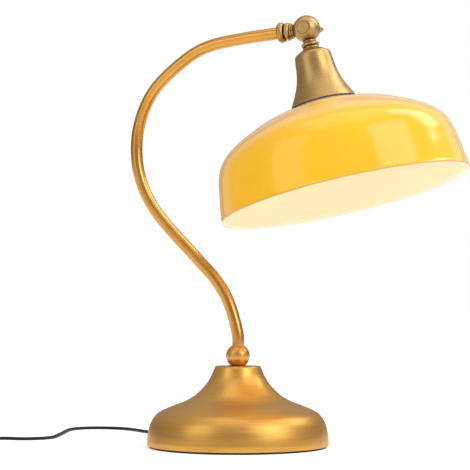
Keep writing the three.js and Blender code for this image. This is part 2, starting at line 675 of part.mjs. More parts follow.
function addCord(name, points, stepLength = 2.5 * cordWidth) {
  const curve = new THREE.CatmullRomCurve3(points, false, 'centripetal');
  const steps = Math.ceil(curve.getLength() / stepLength);
  const settings = { steps, extrudePath: curve, bevelEnabled: false };
  add(lamp, name, toSolid(new THREE.ExtrudeGeometry(cordSection, settings)), cordVinyl);
  return curve.getLength();
}
function spot([x, y, z = cordThickness / 2]) {
  return new THREE.Vector3(x, y, z);
}
const reliefTip = exitDirection.clone().multiplyScalar(baseRadius + reliefLength + gap).setZ(exitHeight);
const switchAxis = new THREE.Vector3(Math.cos(switchHeading), Math.sin(switchHeading), 0);
function onSwitch(distance, height) {
  return new THREE.Vector3(switchX, switchY, height).addScaledVector(switchAxis, distance);
}
const runPoints = [
  [-108, 80.6, 8.6], [-122, 90.9, 5.4], [-135.5, 101, 2.6], [-150, 111.8], [-166, 124], [-182, 136.5],
  [-198, 147], [-214, 151], [-230, 149.5], [-244, 142.5], [-252, 129.5], [-251.5, 113], [-246, 95],
  [-238, 74], [-229.5, 51], [-221.5, 29], [-217.3, 12], [-220.2, -1.5], [-229, -12.2], [-241, -17],
  [-255, -17.5], [-268, -24],
];
addCord('cord_run', [
  reliefTip, ...runPoints.map(spot), onSwitch(-switchLength / 2 - 16, 2.6),
  onSwitch(-switchLength / 2 - gap, switchCordHeight),
]);

// coil of the cord's spare length: the cord runs into its outer turn along a tangent, clockwise from above
const columnSpan = (coilColumns - 1) * coilColumnStep;
const outerTurn = coilTurnRadius + columnSpan / 2;
const coilOuter = outerTurn + cordWidth / 2 + 0.4;
const coilInner = outerTurn - columnSpan - cordWidth / 2 - 0.4;
const coilHeight = coilLayers * (cordThickness + 0.1);
const besideSwitch = new THREE.Vector3(switchAxis.y, -switchAxis.x, 0);
const coilCentre = onSwitch(coilEntry, 0).addScaledVector(besideSwitch, outerTurn);
add(lamp, 'cord_coil', ring([
  [coilInner, 1], [coilInner + 1, 0], [coilOuter - 1, 0], [coilOuter, 1], [coilOuter, coilHeight - 1],
  [coilOuter - 1, coilHeight], [coilInner + 1, coilHeight], [coilInner, coilHeight - 1],
], 24).translate(coilCentre.x, coilCentre.y, 0), cordVinyl);
const tangentRun = Math.sqrt((coilOuter + gap) ** 2 - (outerTurn - cordWidth / 2) ** 2) + gap;
addCord('cord_lead', [
  onSwitch(switchLength / 2 + gap, switchCordHeight),
  onSwitch(switchLength / 2 + 14, 3),
  onSwitch(switchLength / 2 + 26, cordThickness / 2),
  onSwitch(coilEntry - tangentRun, cordThickness / 2),
], 8);

// the tail leaves the top layer on the coil's far side and runs to the plug
const tailX = coilCentre.x - outerTurn;
const tailStart = coilCentre.y + tangentRun;
const plugAxis = new THREE.Vector3(Math.cos(plugHeading), Math.sin(plugHeading), 0);
const plugStart = new THREE.Vector3(tailX + 2, tailStart + plugTail, plugThickness / 2);
addCord('cord_tail', [
  new THREE.Vector3(tailX, tailStart, 1.5 * cordThickness),
  new THREE.Vector3(tailX, tailStart + 16, 1.3 * cordThickness),
  plugStart.clone().addScaledVector(plugAxis, -12).setZ(plugThickness / 2 - 1),
  plugStart,
], 8);

// tie round the bundle of turns
const tieTop = coilHeight + tieGap;
const tieNear = coilInner - tieGap;
const tieFar = coilOuter + tieGap;
const tieBlock = block(
  tieNear - tieThickness, tieFar + tieThickness, -tieHalfWidth, tieHalfWidth, 0, tieTop + tieThickness,
);
const tieInside = block(tieNear, tieFar, -2 * tieHalfWidth, 2 * tieHalfWidth, -1, tieTop);
const tie = tieBlock.subtract(tieInside).rotate([0, 0, 60]).translate(coilCentre.x, coilCentre.y, 0);
add(lamp, 'coil_tie', tie, blackPlastic);

// ---- inline switch ----
const cordSwitch = new THREE.Group();
cordSwitch.position.set(switchX, switchY, 0);
cordSwitch.rotation.z = switchHeading;
lamp.add(cordSwitch);
const windowGap = 0.5;
const screwSpots = [[-21, 8], [21, -8]];
const cornerRadius = 7;
const pillar = 3.2;
function switchBody(bottom, top, wallBottom, wallTop) {
  const outer = roundedBox(switchLength, switchWidth, cornerRadius, bottom, top);
  const inside = roundedBox(
    switchLength - 2 * switchWall, switchWidth - 2 * switchWall, cornerRadius - switchWall, wallBottom, wallTop,
  );
  return outer.subtract(inside);
}
let lower = switchBody(0, switchSplit, switchWall, switchSplit + 1);
let upper = switchBody(switchSplit + gap, switchHeight, switchSplit - 1, switchHeight - switchWall);
const upperPillarTop = switchHeight - switchWall + 0.2;
for (const [x, y] of screwSpots) {
  lower = lower.add(disc(pillar + 0.6, 0.5, switchSplit, 14).translate(x, y, 0));
  lower = lower.subtract(disc(1.7, -1, switchSplit + 1, 12).translate(x, y, 0));
  lower = lower.subtract(disc(2.9, -1, 2.3, 12).translate(x, y, 0));
  upper = upper.add(disc(pillar, switchSplit + gap, upperPillarTop, 14).translate(x, y, 0));
  upper = upper.subtract(disc(1.7, switchSplit - 1, switchHeight - 2.6, 12).translate(x, y, 0));
}
const slotHalfWidth = cordWidth / 2 + 0.3;
const slotHalfHeight = cordThickness / 2 + 0.3;
lower = lower.subtract(block(
  -switchLength, switchLength, -slotHalfWidth, slotHalfWidth,
  switchCordHeight - slotHalfHeight, switchCordHeight + slotHalfHeight,
));
const windowLength = rockerLength / 2 + windowGap + 0.4;
const windowWidth = rockerWidth / 2 + windowGap;
upper = upper.subtract(block(-windowLength, windowLength, -windowWidth, windowWidth, 8, switchHeight + 1));
const axleRadius = 1.2;
for (const side of [-1, 1]) {
  const near = windowWidth + 0.4;
  const lug = block(-2.6, 2.6, near, near + 1.8, rockerPivotHeight - 2.6, upperPillarTop);
  upper = upper.add(side > 0 ? lug : lug.rotate([0, 0, 180]));
}
upper = upper.subtract(turnY(disc(axleRadius + gap, -12.2, 12.2, 14)).translate(0, 0, rockerPivotHeight));
add(cordSwitch, 'switch_lower_housing', lower, blackPlastic);
add(cordSwitch, 'switch_upper_housing', upper, blackPlastic);
screwSpots.forEach(([x, y], i) => {
  const screw = turned([
    [0, 0.4], [2.5, 0.4], [2.5, 2], [1.35, 2], [1.35, switchHeight - 3.2], [0, switchHeight - 3.2],
  ], 12);
  add(cordSwitch, `switch_screw_${i + 1}`, screw.translate(x, y, 0), steel);
});
[-1, 1].forEach((side, i) => {
  const strip = block(5, 19, -2, 2, 2.1, 2.7).add(block(5, 5.6, -2, 2, 2.1, 6.4));
  const turnedStrip = side > 0 ? strip : strip.rotate([0, 0, 180]);
  add(cordSwitch, `switch_contact_${i + 1}`, turnedStrip, rawBrass);
});

const rocker = new THREE.Group();
rocker.position.z = rockerPivotHeight;
rocker.rotation.y = -rockerThrow;
cordSwitch.add(rocker);
const rockerHalf = rockerLength / 2;
const rockerGeometry = new THREE.ExtrudeGeometry(outline([
  [-rockerHalf, -1.6], [-2.4, -2.4], [-1.2, -4.2], [1.2, -4.2], [2.4, -2.4], [rockerHalf, -1.6], [rockerHalf, 3.2],
  [rockerHalf / 2, 2.2], [0, 1.9], [-rockerHalf / 2, 2.2], [-rockerHalf, 3.2],
]), { depth: rockerWidth, bevelEnabled: false });
rockerGeometry.translate(0, 0, -rockerWidth / 2).rotateX(Math.PI / 2);
const axle = turnY(disc(axleRadius, -rockerWidth / 2 - 2.4, rockerWidth / 2 + 2.4, 14));
add(rocker, 'switch_rocker', toSolid(rockerGeometry).add(axle), blackPlastic);

// ---- plug ----
const plug = new THREE.Group();
plug.position.copy(plugStart).addScaledVector(plugAxis, plugReliefLength + 2 * gap);
plug.rotation.z = plugHeading;
lamp.add(plug);
const plugHalf = plugWidth / 2;
const plugEdge = 1.6;
const plugOutline = outline([
  [plugEdge, -5], [plugEdge, 5], [7, 9.4], [13, plugHalf - plugEdge - 1], [17, plugHalf - plugEdge],
  [plugLength - plugEdge - 5, plugHalf - plugEdge], [plugLength - plugEdge, plugHalf - plugEdge - 3.4],
  [plugLength - plugEdge, -plugHalf + plugEdge + 3.4], [plugLength - plugEdge - 5, -plugHalf + plugEdge],
  [17, -plugHalf + plugEdge], [13, -plugHalf + plugEdge + 1], [7, -9.4],
]);
const plugGeometry = new THREE.ExtrudeGeometry(plugOutline, {
  depth: plugThickness - 2 * plugEdge, bevelEnabled: true, bevelThickness: plugEdge, bevelSize: plugEdge,
  bevelSegments: 2,
});
plugGeometry.translate(0, 0, -plugThickness / 2 + plugEdge);
let plugBody = toSolid(plugGeometry);
const pinRoot = 8;
[-1, 1].forEach((side, i) => {
  const place = [0, (side * pinSpacing) / 2, 0];
  const socket = turnX(disc(pinRadius + gap, plugLength - pinRoot - gap, plugLength + 1, 14));
  plugBody = plugBody.subtract(socket.translate(place));
  const pin = turnX(turned([
    [0, plugLength - pinRoot], [pinRadius, plugLength - pinRoot], [pinRadius, plugLength + pinLength - 1.4],
    [1.1, plugLength + pinLength], [0, plugLength + pinLength],
  ], 14));
  add(plug, `plug_pin_${i + 1}`, pin.translate(place), steel);
});
add(plug, 'plug_body', plugBody, blackPlastic);
add(plug, 'plug_strain_relief', turnX(turned([
  [0, -plugReliefLength], [3.5, -plugReliefLength], [4.8, -gap], [0, -gap],
], 16)), blackPlastic);

export default lamp;
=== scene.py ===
import math

import bmesh
import bpy
from mathutils import Matrix, Vector


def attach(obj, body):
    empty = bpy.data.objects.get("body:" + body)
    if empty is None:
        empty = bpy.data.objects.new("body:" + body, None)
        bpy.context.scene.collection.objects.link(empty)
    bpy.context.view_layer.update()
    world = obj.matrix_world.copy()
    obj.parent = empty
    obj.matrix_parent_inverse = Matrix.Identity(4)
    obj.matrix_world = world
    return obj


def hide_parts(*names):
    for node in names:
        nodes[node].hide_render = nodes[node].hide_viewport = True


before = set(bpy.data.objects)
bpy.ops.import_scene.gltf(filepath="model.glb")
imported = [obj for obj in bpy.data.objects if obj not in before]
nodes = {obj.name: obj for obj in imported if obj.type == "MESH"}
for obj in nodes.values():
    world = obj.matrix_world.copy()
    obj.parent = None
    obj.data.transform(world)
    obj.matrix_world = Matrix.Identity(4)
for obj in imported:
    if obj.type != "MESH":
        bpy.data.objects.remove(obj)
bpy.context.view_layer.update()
scene = bpy.context.scene
mm = 0.001  # outlines are written in millimetres, meshes are in metres
print("frame loaded:", len(nodes), "nodes")


# place in metres, lift and turn in degrees, lens in millimetres
camera = {"place": (0.6183, -1.4566, 0.1377), "lift": 92.6185, "turn": 23.1045, "lens": 121.75, "near": 0.05}

lens = bpy.data.cameras.new("camera")
lens.lens = camera["lens"]
lens.clip_start = camera["near"]
lens.dof.use_dof = False
eye = bpy.data.objects.new("camera", lens)
eye.location = camera["place"]
eye.rotation_euler = (math.radians(camera["lift"]), 0, math.radians(camera["turn"]))
scene.collection.objects.link(eye)
scene.camera = eye

studio = {
    "floor": 30.0,  # half its side, in metres
    "floorColor": (0.86, 0.86, 0.86, 1),
    "skyLow": (0.20, 0.19, 0.185, 1),
    "skyHigh": (0.55, 0.55, 0.57, 1),
    "aim": (0.05, 0, 0.24),
    # azimuth, elevation, distance, width, height, watts
    "lamps": {
        "keyLight": (72, 30, 1.8, 1.1, 1.3, 14.5),
        "sideLight": (-32, 26, 1.8, 0.9, 1.2, 4.2),
        "rimLight": (130, 48, 1.8, 0.6, 1.2, 10),
        "topLight": (20, 84, 1.7, 1.6, 1.6, 8),
    },
}


def areaLight(name, azimuth, elevation, distance, width, height, power):
    light = bpy.data.lights.new(name, "AREA")
    light.shape = "RECTANGLE"
    light.size, light.size_y, light.energy = width, height, power
    side, rise = math.radians(azimuth), math.radians(elevation)
    away = Vector((math.sin(side) * math.cos(rise), -math.cos(side) * math.cos(rise), math.sin(rise)))
    made = bpy.data.objects.new(name, light)
    made.location = Vector(studio["aim"]) + distance * away
    made.rotation_euler = away.to_track_quat("Z", "Y").to_euler()
    scene.collection.objects.link(made)


for name, settings in studio["lamps"].items():
    areaLight(name, *settings)
scene.view_settings.view_transform = "Standard"
print("camera and lights set")


# an output socket: arithmetic on it adds Math nodes to its tree
class Wire:
    def __init__(self, tree, socket=None):
        self.tree, self.socket = tree, socket

    def node(self, kind, settings=None, sockets=None, output=0):
        made = self.tree.nodes.new("ShaderNode" + kind)
        for name, value in (settings or {}).items():
            setattr(made, name, value)
        for name, value in (sockets or {}).items():
            if isinstance(value, Wire):
                self.tree.links.new(value.socket, made.inputs[name])
            else:
                made.inputs[name].default_value = value
        return Wire(self.tree, made.outputs[output])

    def math(self, operation, first, second=0.0):
        return self.node("Math", {"operation": operation}, {0: first, 1: second})

    def __add__(self, other):
        return self.math("ADD", self, other)

    def __rsub__(self, other):
        return self.math("SUBTRACT", other, self)

    def __mul__(self, other):
        return self.math("MULTIPLY", self, other)

    __radd__, __rmul__ = __add__, __mul__

    def step(self, low, high, start=0.0, end=1.0):
        settings = {"interpolation_type": "SMOOTHSTEP"}
        return self.node("MapRange", settings, {0: self, 1: low, 2: high, 3: start, 4: end})

    def mix(self, first, second):
        return self.node("Mix", {"data_type": "RGBA"}, {0: self, 6: first, 7: second}, 2)

    def place(self):
        return self.node("TexCoord", output="Object")

    def noise(self, scale, detail=3.0, stretch=(1, 1, 1), roughness=0.55):
        mapped = self.node("Mapping", None, {"Vector": self.place(), "Scale": stretch})
        sockets = {"Vector": mapped, "Scale": scale, "Detail": detail, "Roughness": roughness}
        return self.node("TexNoise", None, sockets)

    def attribute(self, name):
        return self.node("Attribute", {"attribute_name": name}, output="Fac")

    # fine lines that run round a turned piece: they change along its outline, and hardly round it
    def brushed(self, pitch, detail=4.0):
        parts = self.node("SeparateXYZ", None, {0: self.place()})
        x, y = Wire(self.tree, parts.socket.node.outputs[0]), Wire(self.tree, parts.socket.node.outputs[1])
        along = self.attribute("along") * (1 / pitch)
        drift = 9  # how fast a line changes round the piece, per metre
        vector = self.node("CombineXYZ", None, {0: x * drift, 1: y * drift, 2: along})
        sockets = {"Vector": vector, "Scale": 1.0, "Detail": detail, "Roughness": 0.6}
        return self.node("TexNoise", None, sockets)

    # one along a sharp edge, nothing on a flat
    def edges(self, radius):
        bevelled = self.node("Bevel", {"samples": 4}, {"Radius": radius})
        facing = self.node("NewGeometry", output="Normal")
        dot = self.node("VectorMath", {"operation": "DOT_PRODUCT"}, {0: bevelled, 1: facing}, 1)
        return (1 - dot).step(0.02, 0.25)

    # ambient occlusion: one in a narrow hollow where shade falls, nothing on an open face; used to paint
    # shade
    def occlusionMask(self, reach):
        return 1 - self.node("AmbientOcclusion", {"samples": 6}, {"Distance": reach}, "AO")

    def bump(self, height, strength, distance):
        return self.node("Bump", None, {"Height": height, "Strength": strength, "Distance": distance})


def material(name, constants, paint):
    made = bpy.data.materials.new(name)
    made.use_nodes = True
    shader = made.node_tree.nodes["Principled BSDF"]
    for socket, value in constants.items():
        shader.inputs[socket].default_value = value
    for socket, value in paint(Wire(made.node_tree)).items():
        made.node_tree.links.new(value.socket, shader.inputs[socket])
    return made


def skyTree():
    world = bpy.data.worlds.new("studio")
    world.use_nodes = True
    scene.world = world
    sky = Wire(world.node_tree)
    up = sky.node("SeparateXYZ", None, {0: sky.node("TexCoord", output="Generated")}, 2)
    glow = up.step(-0.1, 0.75).mix(studio["skyLow"], studio["skyHigh"])
    soft = sky.node("Background", None, {0: glow, 1: 1.0})
    plain = sky.node("Background", None, {0: (1, 1, 1, 1), 1: 1.0})
    seen = sky.node("LightPath", output="Is Camera Ray")
    both = sky.node("MixShader", None, {0: seen, 1: soft, 2: plain})
    world.node_tree.links.new(both.socket, world.node_tree.nodes["World Output"].inputs[0])


skyTree()


# a metal piece: lines of the lathe, cloudy tarnish, brighter worn edges, and painted shade with some dark
# patina in its hollows
def brass(name, colors, pitch=0.6 * mm, roughness=(0.38, 0.48), tarnish=0.5, lines=0.2, contrast=0.2,
          wear=0.5, shadeAndPatina=0, speckle=0.2):
    def paint(wire):
        streaks = wire.brushed(pitch)
        clouds = wire.noise(20, 5).step(0.35, 0.72)
        spots = wire.noise(170, 4).step(0.62, 0.8)
        body = (clouds * tarnish).mix(colors["body"], colors["tarnish"])
        body = (streaks.step(0.3, 0.75) * contrast).mix(body, colors["line"])
        body = (spots * speckle).mix(body, colors["spot"])
        if wear:
            body = (wire.edges(0.5 * mm) * wear).mix(body, colors["edge"])
        # painted shade: ambient occlusion darkens the hollows towards near black, with some dark patina
        if shadeAndPatina:
            body = (wire.occlusionMask(4 * mm).step(0.15, 0.55) * shadeAndPatina).mix(body, colors["shadeAndPatina"])
        rough = streaks.step(0.25, 0.8, *roughness) + clouds * 0.05 + spots * 0.05
        return {"Base Color": body, "Roughness": rough, "Normal": wire.bump(streaks, lines, 0.03 * mm)}
    return material(name, {"Metallic": 1.0}, paint)


antiqueBrass = brass("antique_brass", {
    "body": (0.70, 0.36, 0.075, 1), "tarnish": (0.53, 0.25, 0.05, 1), "line": (0.84, 0.52, 0.17, 1),
    "spot": (0.40, 0.18, 0.05, 1),
}, pitch=0.8 * mm, roughness=(0.33, 0.43), lines=0.45, contrast=0.4, wear=0)
armBrass = brass("arm_brass", {
    "body": (0.70, 0.345, 0.072, 1), "tarnish": (0.54, 0.25, 0.055, 1), "line": (0.80, 0.46, 0.14, 1),
    "spot": (0.42, 0.19, 0.05, 1),
}, pitch=30 * mm, roughness=(0.25, 0.3), lines=0.0, contrast=0.25, wear=0, speckle=0.05)
# painted shade darkens its hollows towards near black, with some dark patina
agedBrass = brass("aged_brass", {
    "body": (0.45, 0.28, 0.098, 1), "tarnish": (0.34, 0.185, 0.06, 1), "line": (0.66, 0.45, 0.19, 1),
    "spot": (0.18, 0.10, 0.04, 1), "edge": (0.80, 0.57, 0.28, 1), "shadeAndPatina": (0.035, 0.02, 0.012, 1),
}, pitch=0.8 * mm, roughness=(0.33, 0.44), tarnish=0.6, lines=0.35, contrast=0.4, shadeAndPatina=0.9)
rawBrass = brass("raw_brass", {
    "body": (0.72, 0.50, 0.20, 1), "tarnish": (0.55, 0.36, 0.13, 1), "line": (0.82, 0.62, 0.30, 1),
    "spot": (0.42, 0.27, 0.10, 1), "edge": (0.88, 0.70, 0.38, 1),
}, roughness=(0.24, 0.36), tarnish=0.4)
steel = brass("steel", {
    "body": (0.50, 0.50, 0.51, 1), "tarnish": (0.36, 0.36, 0.37, 1), "line": (0.64, 0.64, 0.65, 1),
    "spot": (0.28, 0.26, 0.24, 1), "edge": (0.74, 0.74, 0.75, 1),
}, roughness=(0.26, 0.4), tarnish=0.6)


def castIron():
    def paint(wire):
        grain = wire.noise(900, 4)
        rust = wire.noise(45, 5).step(0.55, 0.75)
        color = grain.step(0.3, 0.7).mix((0.035, 0.035, 0.038, 1), (0.075, 0.073, 0.072, 1))
        color = (rust * 0.5).mix(color, (0.12, 0.06, 0.03, 1))
        return {"Base Color": color, "Roughness": 0.6 + grain * 0.25,
                "Normal": wire.bump(grain, 0.6, 0.25 * mm)}
    return material("cast_iron", {"Metallic": 0.6}, paint)


# a dull black or pale moulding: fine spark texture, rubbed edges, a little dust
def moulding(name, body, rubbed, dust, roughness=(0.42, 0.6), grain=1500, texture=0.25):
    def paint(wire):
        fine = wire.noise(grain, 3)
        worn = wire.noise(60, 4).step(0.45, 0.75)
        color = (fine.step(0.35, 0.7) * 0.3).mix(body, rubbed)
        color = (wire.edges(0.5 * mm) * 0.6).mix(color, rubbed)
        color = (worn * 0.18).mix(color, dust)
        rough = fine.step(0.3, 0.7, *roughness) + worn * 0.08
        return {"Base Color": color, "Roughness": rough, "Normal": wire.bump(fine, texture, 0.06 * mm)}
    return material(name, {}, paint)


blackPlastic = moulding(
    "black_plastic", (0.012, 0.012, 0.013, 1), (0.035, 0.035, 0.037, 1), (0.09, 0.085, 0.08, 1))
footRubber = moulding(
    "foot_rubber", (0.010, 0.010, 0.010, 1), (0.03, 0.03, 0.03, 1), (0.10, 0.095, 0.09, 1),
    (0.7, 0.9), 700, 0.5)
holderPlastic = moulding(
    "holder_plastic", (0.80, 0.76, 0.66, 1), (0.86, 0.83, 0.75, 1), (0.62, 0.55, 0.42, 1), (0.28, 0.42))
siliconeRubber = moulding(
    "silicone", (0.74, 0.72, 0.66, 1), (0.80, 0.78, 0.73, 1), (0.60, 0.56, 0.48, 1), (0.5, 0.65), 900)


def cordVinyl():
    def paint(wire):
        fine = wire.noise(700, 3)
        scuffs = wire.noise(70, 5, (1, 1, 0.3)).step(0.55, 0.75)
        valley = wire.attribute("valley")
        color = (fine.step(0.3, 0.7) * 0.5).mix((0.004, 0.004, 0.005, 1), (0.010, 0.010, 0.011, 1))
        color = (scuffs * 0.2).mix(color, (0.03, 0.029, 0.028, 1))
        # painted shade in the shallow valley between the two conductors
        color = (valley * 0.8).mix(color, (0.004, 0.004, 0.004, 1))
        return {"Base Color": color, "Roughness": 0.34 + scuffs * 0.16 + fine * 0.1,
                "Normal": wire.bump(fine, 0.2, 0.08 * mm)}
    return material("cord_vinyl", {"Specular IOR Level": 0.3}, paint)


# cased glass: clear amber over opal white, with painted light through its clear amber skin and painted
# reflection as bands where it is seen edge on, and a faint painted glow
def casedGlass():
    def paint(wire):
        layer = wire.attribute("layer")
        drift = wire.noise(9, 4, (1, 1, 0.6))
        seeds = wire.noise(420, 2).step(0.7, 0.82)
        facing = wire.node("LayerWeight", None, {"Blend": 0.5}, "Facing")
        amber = drift.step(0.3, 0.7).mix((0.95, 0.535, 0.020, 1), (0.91, 0.47, 0.014, 1))
        amber = (seeds * 0.12).mix(amber, (0.97, 0.70, 0.16, 1))
        # painted light and reflection where the glass is seen edge on: towards the outline a pale band, an
        # orange line, a paler band, and a thin dark edge
        for low, high, strength, tint in (
            (0.55, 0.68, 0.5, (0.98, 0.64, 0.29, 1)), (0.74, 0.78, 0.6, (0.78, 0.37, 0.05, 1)),
            (0.80, 0.86, 0.8, (0.98, 0.70, 0.38, 1)), (0.94, 1.0, 0.5, (0.66, 0.33, 0.12, 1)),
        ):
            amber = (facing.step(low, high) * strength).mix(amber, tint)
        deep = wire.attribute("along").step(26 * mm, 4 * mm)  # darker beside the cup
        amber = (deep * 0.55).mix(amber, (0.72, 0.30, 0.012, 1))
        cream = drift.step(0.3, 0.7).mix((0.95, 0.82, 0.58, 1), (0.93, 0.78, 0.53, 1))
        cream = (wire.attribute("along").step(0.23, 0.13) * 0.4).mix(cream, (0.97, 0.88, 0.66, 1))
        color = layer.mix(amber, cream)
        color = (wire.attribute("rim") * 0.65).mix(color, (0.48, 0.23, 0.07, 1))
        wave = wire.noise(14, 2, (1, 1, 0.5))
        # painted light: the glass glows faintly in its own colours, standing for light coming through the
        # shade
        glow = layer.mix((0.55, 0.27, 0.006, 1), (0.80, 0.66, 0.36, 1))
        return {"Base Color": color, "Emission Color": glow, "Roughness": 0.15 + drift * 0.06 + seeds * 0.1,
                "Normal": wire.bump(wave, 0.25, 0.5 * mm)}
    constants = {"Coat Weight": 0.1, "Coat Roughness": 0.05, "Emission Strength": 0.1, "IOR": 1.42}
    return material("cased_glass", constants, paint)


def bulbGlass():
    def paint(wire):
        haze = wire.noise(60, 3)
        color = haze.step(0.3, 0.7).mix((0.90, 0.88, 0.82, 1), (0.84, 0.81, 0.74, 1))
        return {"Base Color": color, "Roughness": 0.18 + haze * 0.12,
                "Normal": wire.bump(haze, 0.1, 0.1 * mm)}
    return material("bulb_glass", {"Coat Weight": 0.4}, paint)


def floorPaper():
    def paint(wire):
        spot = wire.node("VectorMath", {"operation": "LENGTH"}, {0: wire.place()}, 1).step(0.2, 0.9)
        color = spot.mix(studio["floorColor"], (0, 0, 0, 1))
        glow = spot.mix((0.42, 0.42, 0.42, 1), (1.1, 1.1, 1.1, 1))
        return {"Base Color": color, "Emission Color": glow}
    constants = {"Roughness": 0.95, "Specular IOR Level": 0.0, "Emission Strength": 1.0}
    return material("floor_paper", constants, paint)


iron, vinyl, glass, opal = castIron(), cordVinyl(), casedGlass(), bulbGlass()
print("materials made")


# a smooth line through the points; power 0.5 suits uneven gaps, 0 even ones
def spline(points, perSpan, power=0.5):
    points = [Vector(point) for point in points]
    ends = [2 * points[0] - points[1], *points, 2 * points[-1] - points[-2]]
    line = []
    for a, b, c, d in zip(ends, ends[1:], ends[2:], ends[3:]):
        first = (b - a).length ** power
        second = first + (c - b).length ** power
        third = second + (d - c).length ** power
        for i in range(perSpan):
            t = first + (second - first) * i / perSpan
            ab = (a * (first - t) + b * t) / first
            bc = (b * (second - t) + c * (t - first)) / (second - first)
            cd = (c * (third - t) + d * (t - second)) / (third - second)
            abc = (ab * (second - t) + bc * t) / second
            bcd = (bc * (third - t) + cd * (t - first)) / (third - first)
            line.append((abc * (second - t) + bcd * (t - first)) / (second - first))
    return [*line, points[-1]]


# the outline with an arc at each corner whose third number is a radius
def rounded(points, closed=True, steps=4):
    line = []
    for i, point in enumerate(points):
        corner = Vector(point[:2])
        if len(point) < 3:
            line.append(tuple(corner))
            continue
        back = Vector(points[i - 1][:2]) - corner
        ahead = Vector(points[(i + 1) % len(points)][:2]) - corner
        turn = back.angle(ahead)
        reach = min(point[2] / math.tan(turn / 2), 0.48 * back.length, 0.48 * ahead.length)
        start, end = corner + back.normalized() * reach, corner + ahead.normalized() * reach
        for k in range(steps + 1):
            s = k / steps
            line.append(tuple(start * (1 - s) ** 2 + corner * 2 * s * (1 - s) + end * s ** 2))
    return line


# the outline moved sideways, to the left of its direction
def offsetLine(points, distance):
    line = []
    for i, point in enumerate(points):
        before, after = Vector(points[max(i - 1, 0)]), Vector(points[min(i + 1, len(points) - 1)])
        run = (after - before).normalized()
        line.append((point[0] - run.y * distance, point[1] + run.x * distance))
    return line


def arc(radius, centre, start, end, steps):
    angles = [start + (end - start) * i / steps for i in range(steps + 1)]
    return [(radius * math.cos(a), centre + radius * math.sin(a)) for a in angles]


# an outline of [radius, height] pairs turned once about Z
def turned(mesh, points, closed=True, steps=96, place=None):
    along = mesh.verts.layers.float.get("along") or mesh.verts.layers.float.new("along")
    loop, run = [], 0.0
    for i, (radius, height) in enumerate(points):
        run += math.dist(points[i], points[i - 1]) if i else 0
        vert = mesh.verts.new((max(radius, 0) * mm, 0, height * mm))
        vert[along] = run * mm
        loop.append(vert)
    pairs = list(zip(loop, loop[1:])) + ([(loop[-1], loop[0])] if closed else [])
    rim = [mesh.edges.new(pair) for pair in pairs]
    spun = {"cent": (0, 0, 0), "axis": (0, 0, 1), "dvec": (0, 0, 0), "angle": 2 * math.pi, "steps": steps}
    old = set(mesh.verts) - set(loop)
    bmesh.ops.spin(mesh, geom=loop + rim, use_merge=True, use_duplicate=False, **spun)
    fresh = [vert for vert in mesh.verts if vert not in old]
    bmesh.ops.remove_doubles(mesh, verts=fresh, dist=1e-7)
    if place:
        bmesh.ops.transform(mesh, matrix=place, verts=[vert for vert in mesh.verts if vert not in old])


# a closed section carried along a line; side gives its first direction at each point
def swept(mesh, line, section, side, valley=None):
    along = mesh.verts.layers.float.get("along") or mesh.verts.layers.float.new("along")
    dip = mesh.verts.layers.float.get("valley") or mesh.verts.layers.float.new("valley")
    rings, run = [], 0.0
    for i, point in enumerate(line):
        run += (point - line[i - 1]).length if i else 0
        ahead = (line[min(i + 1, len(line) - 1)] - line[max(i - 1, 0)]).normalized()
        across = side(ahead)
        up = across.cross(ahead).normalized()
        ring = [mesh.verts.new(point + (across * x + up * y) * mm) for x, y in section]
        for k, vert in enumerate(ring):
            vert[along] = run
            vert[dip] = valley[k] if valley else 0
        count = len(ring)
        rings.append([mesh.edges.new((ring[k], ring[(k + 1) % count])) for k in range(count)])
    for near, far in zip(rings, rings[1:]):
        bmesh.ops.bridge_loops(mesh, edges=near + far)
    for rim in (rings[0], rings[-1]):
        bmesh.ops.edgeloop_fill(mesh, edges=rim)


def finished(name, mesh, body, look, replaced=(), sharp=38):
    bmesh.ops.remove_doubles(mesh, verts=mesh.verts, dist=1e-7)
    bmesh.ops.recalc_face_normals(mesh, faces=mesh.faces)
    data = bpy.data.meshes.new(name)
    mesh.to_mesh(data)
    mesh.free()
    data.materials.append(look)
    data.shade_smooth()
    data.set_sharp_from_angle(angle=math.radians(sharp))
    piece = bpy.data.objects.new(name, data)
    scene.collection.objects.link(piece)
    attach(piece, body)
    if replaced:
        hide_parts(*replaced)
    return piece


def turnedPiece(name, points, body, look, replaced=(), place=None, steps=96, closed=True, sharp=38):
    mesh = bmesh.new()
    turned(mesh, points, closed, steps, place)
    return finished(name, mesh, body, look, replaced, sharp)


paper = bmesh.new()
bmesh.ops.create_grid(paper, x_segments=2, y_segments=2, size=studio["floor"])
paperData = bpy.data.meshes.new("floor")
paper.to_mesh(paperData)
paper.free()
paperData.materials.append(floorPaper())
floor = bpy.data.objects.new("floor", paperData)
scene.collection.objects.link(floor)


# angles are in radians and lengths in millimetres, as in every dictionary below
cord = {"width": 5.4, "thickness": 3.4, "turnRadius": 29.9, "columnStep": 5.5, "columns": 4, "layerStep": 3.5,
        "exitAngle": math.radians(143.3), "exitRadius": 115.3, "exitHeight": 10}
cordSwitch = {"x": -307.6, "y": -76.8, "heading": math.radians(233), "length": 62, "cordHeight": 4.6,
              "coilEntry": 90}
plug = {"heading": math.radians(86), "tail": 54, "thickness": 13.7, "relief": 22}
gap = 0.3  # between pieces that touch on the real lamp
half = cord["thickness"] / 2
switchEnd = cordSwitch["length"] / 2
switchAxis = Vector((math.cos(cordSwitch["heading"]), math.sin(cordSwitch["heading"]), 0))
plugAxis = Vector((math.cos(plug["heading"]), math.sin(plug["heading"]), 0))
exitAxis = Vector((math.cos(cord["exitAngle"]), math.sin(cord["exitAngle"]), 0))


def onSwitch(distance, height):
    return Vector((cordSwitch["x"], cordSwitch["y"], height)) + switchAxis * distance


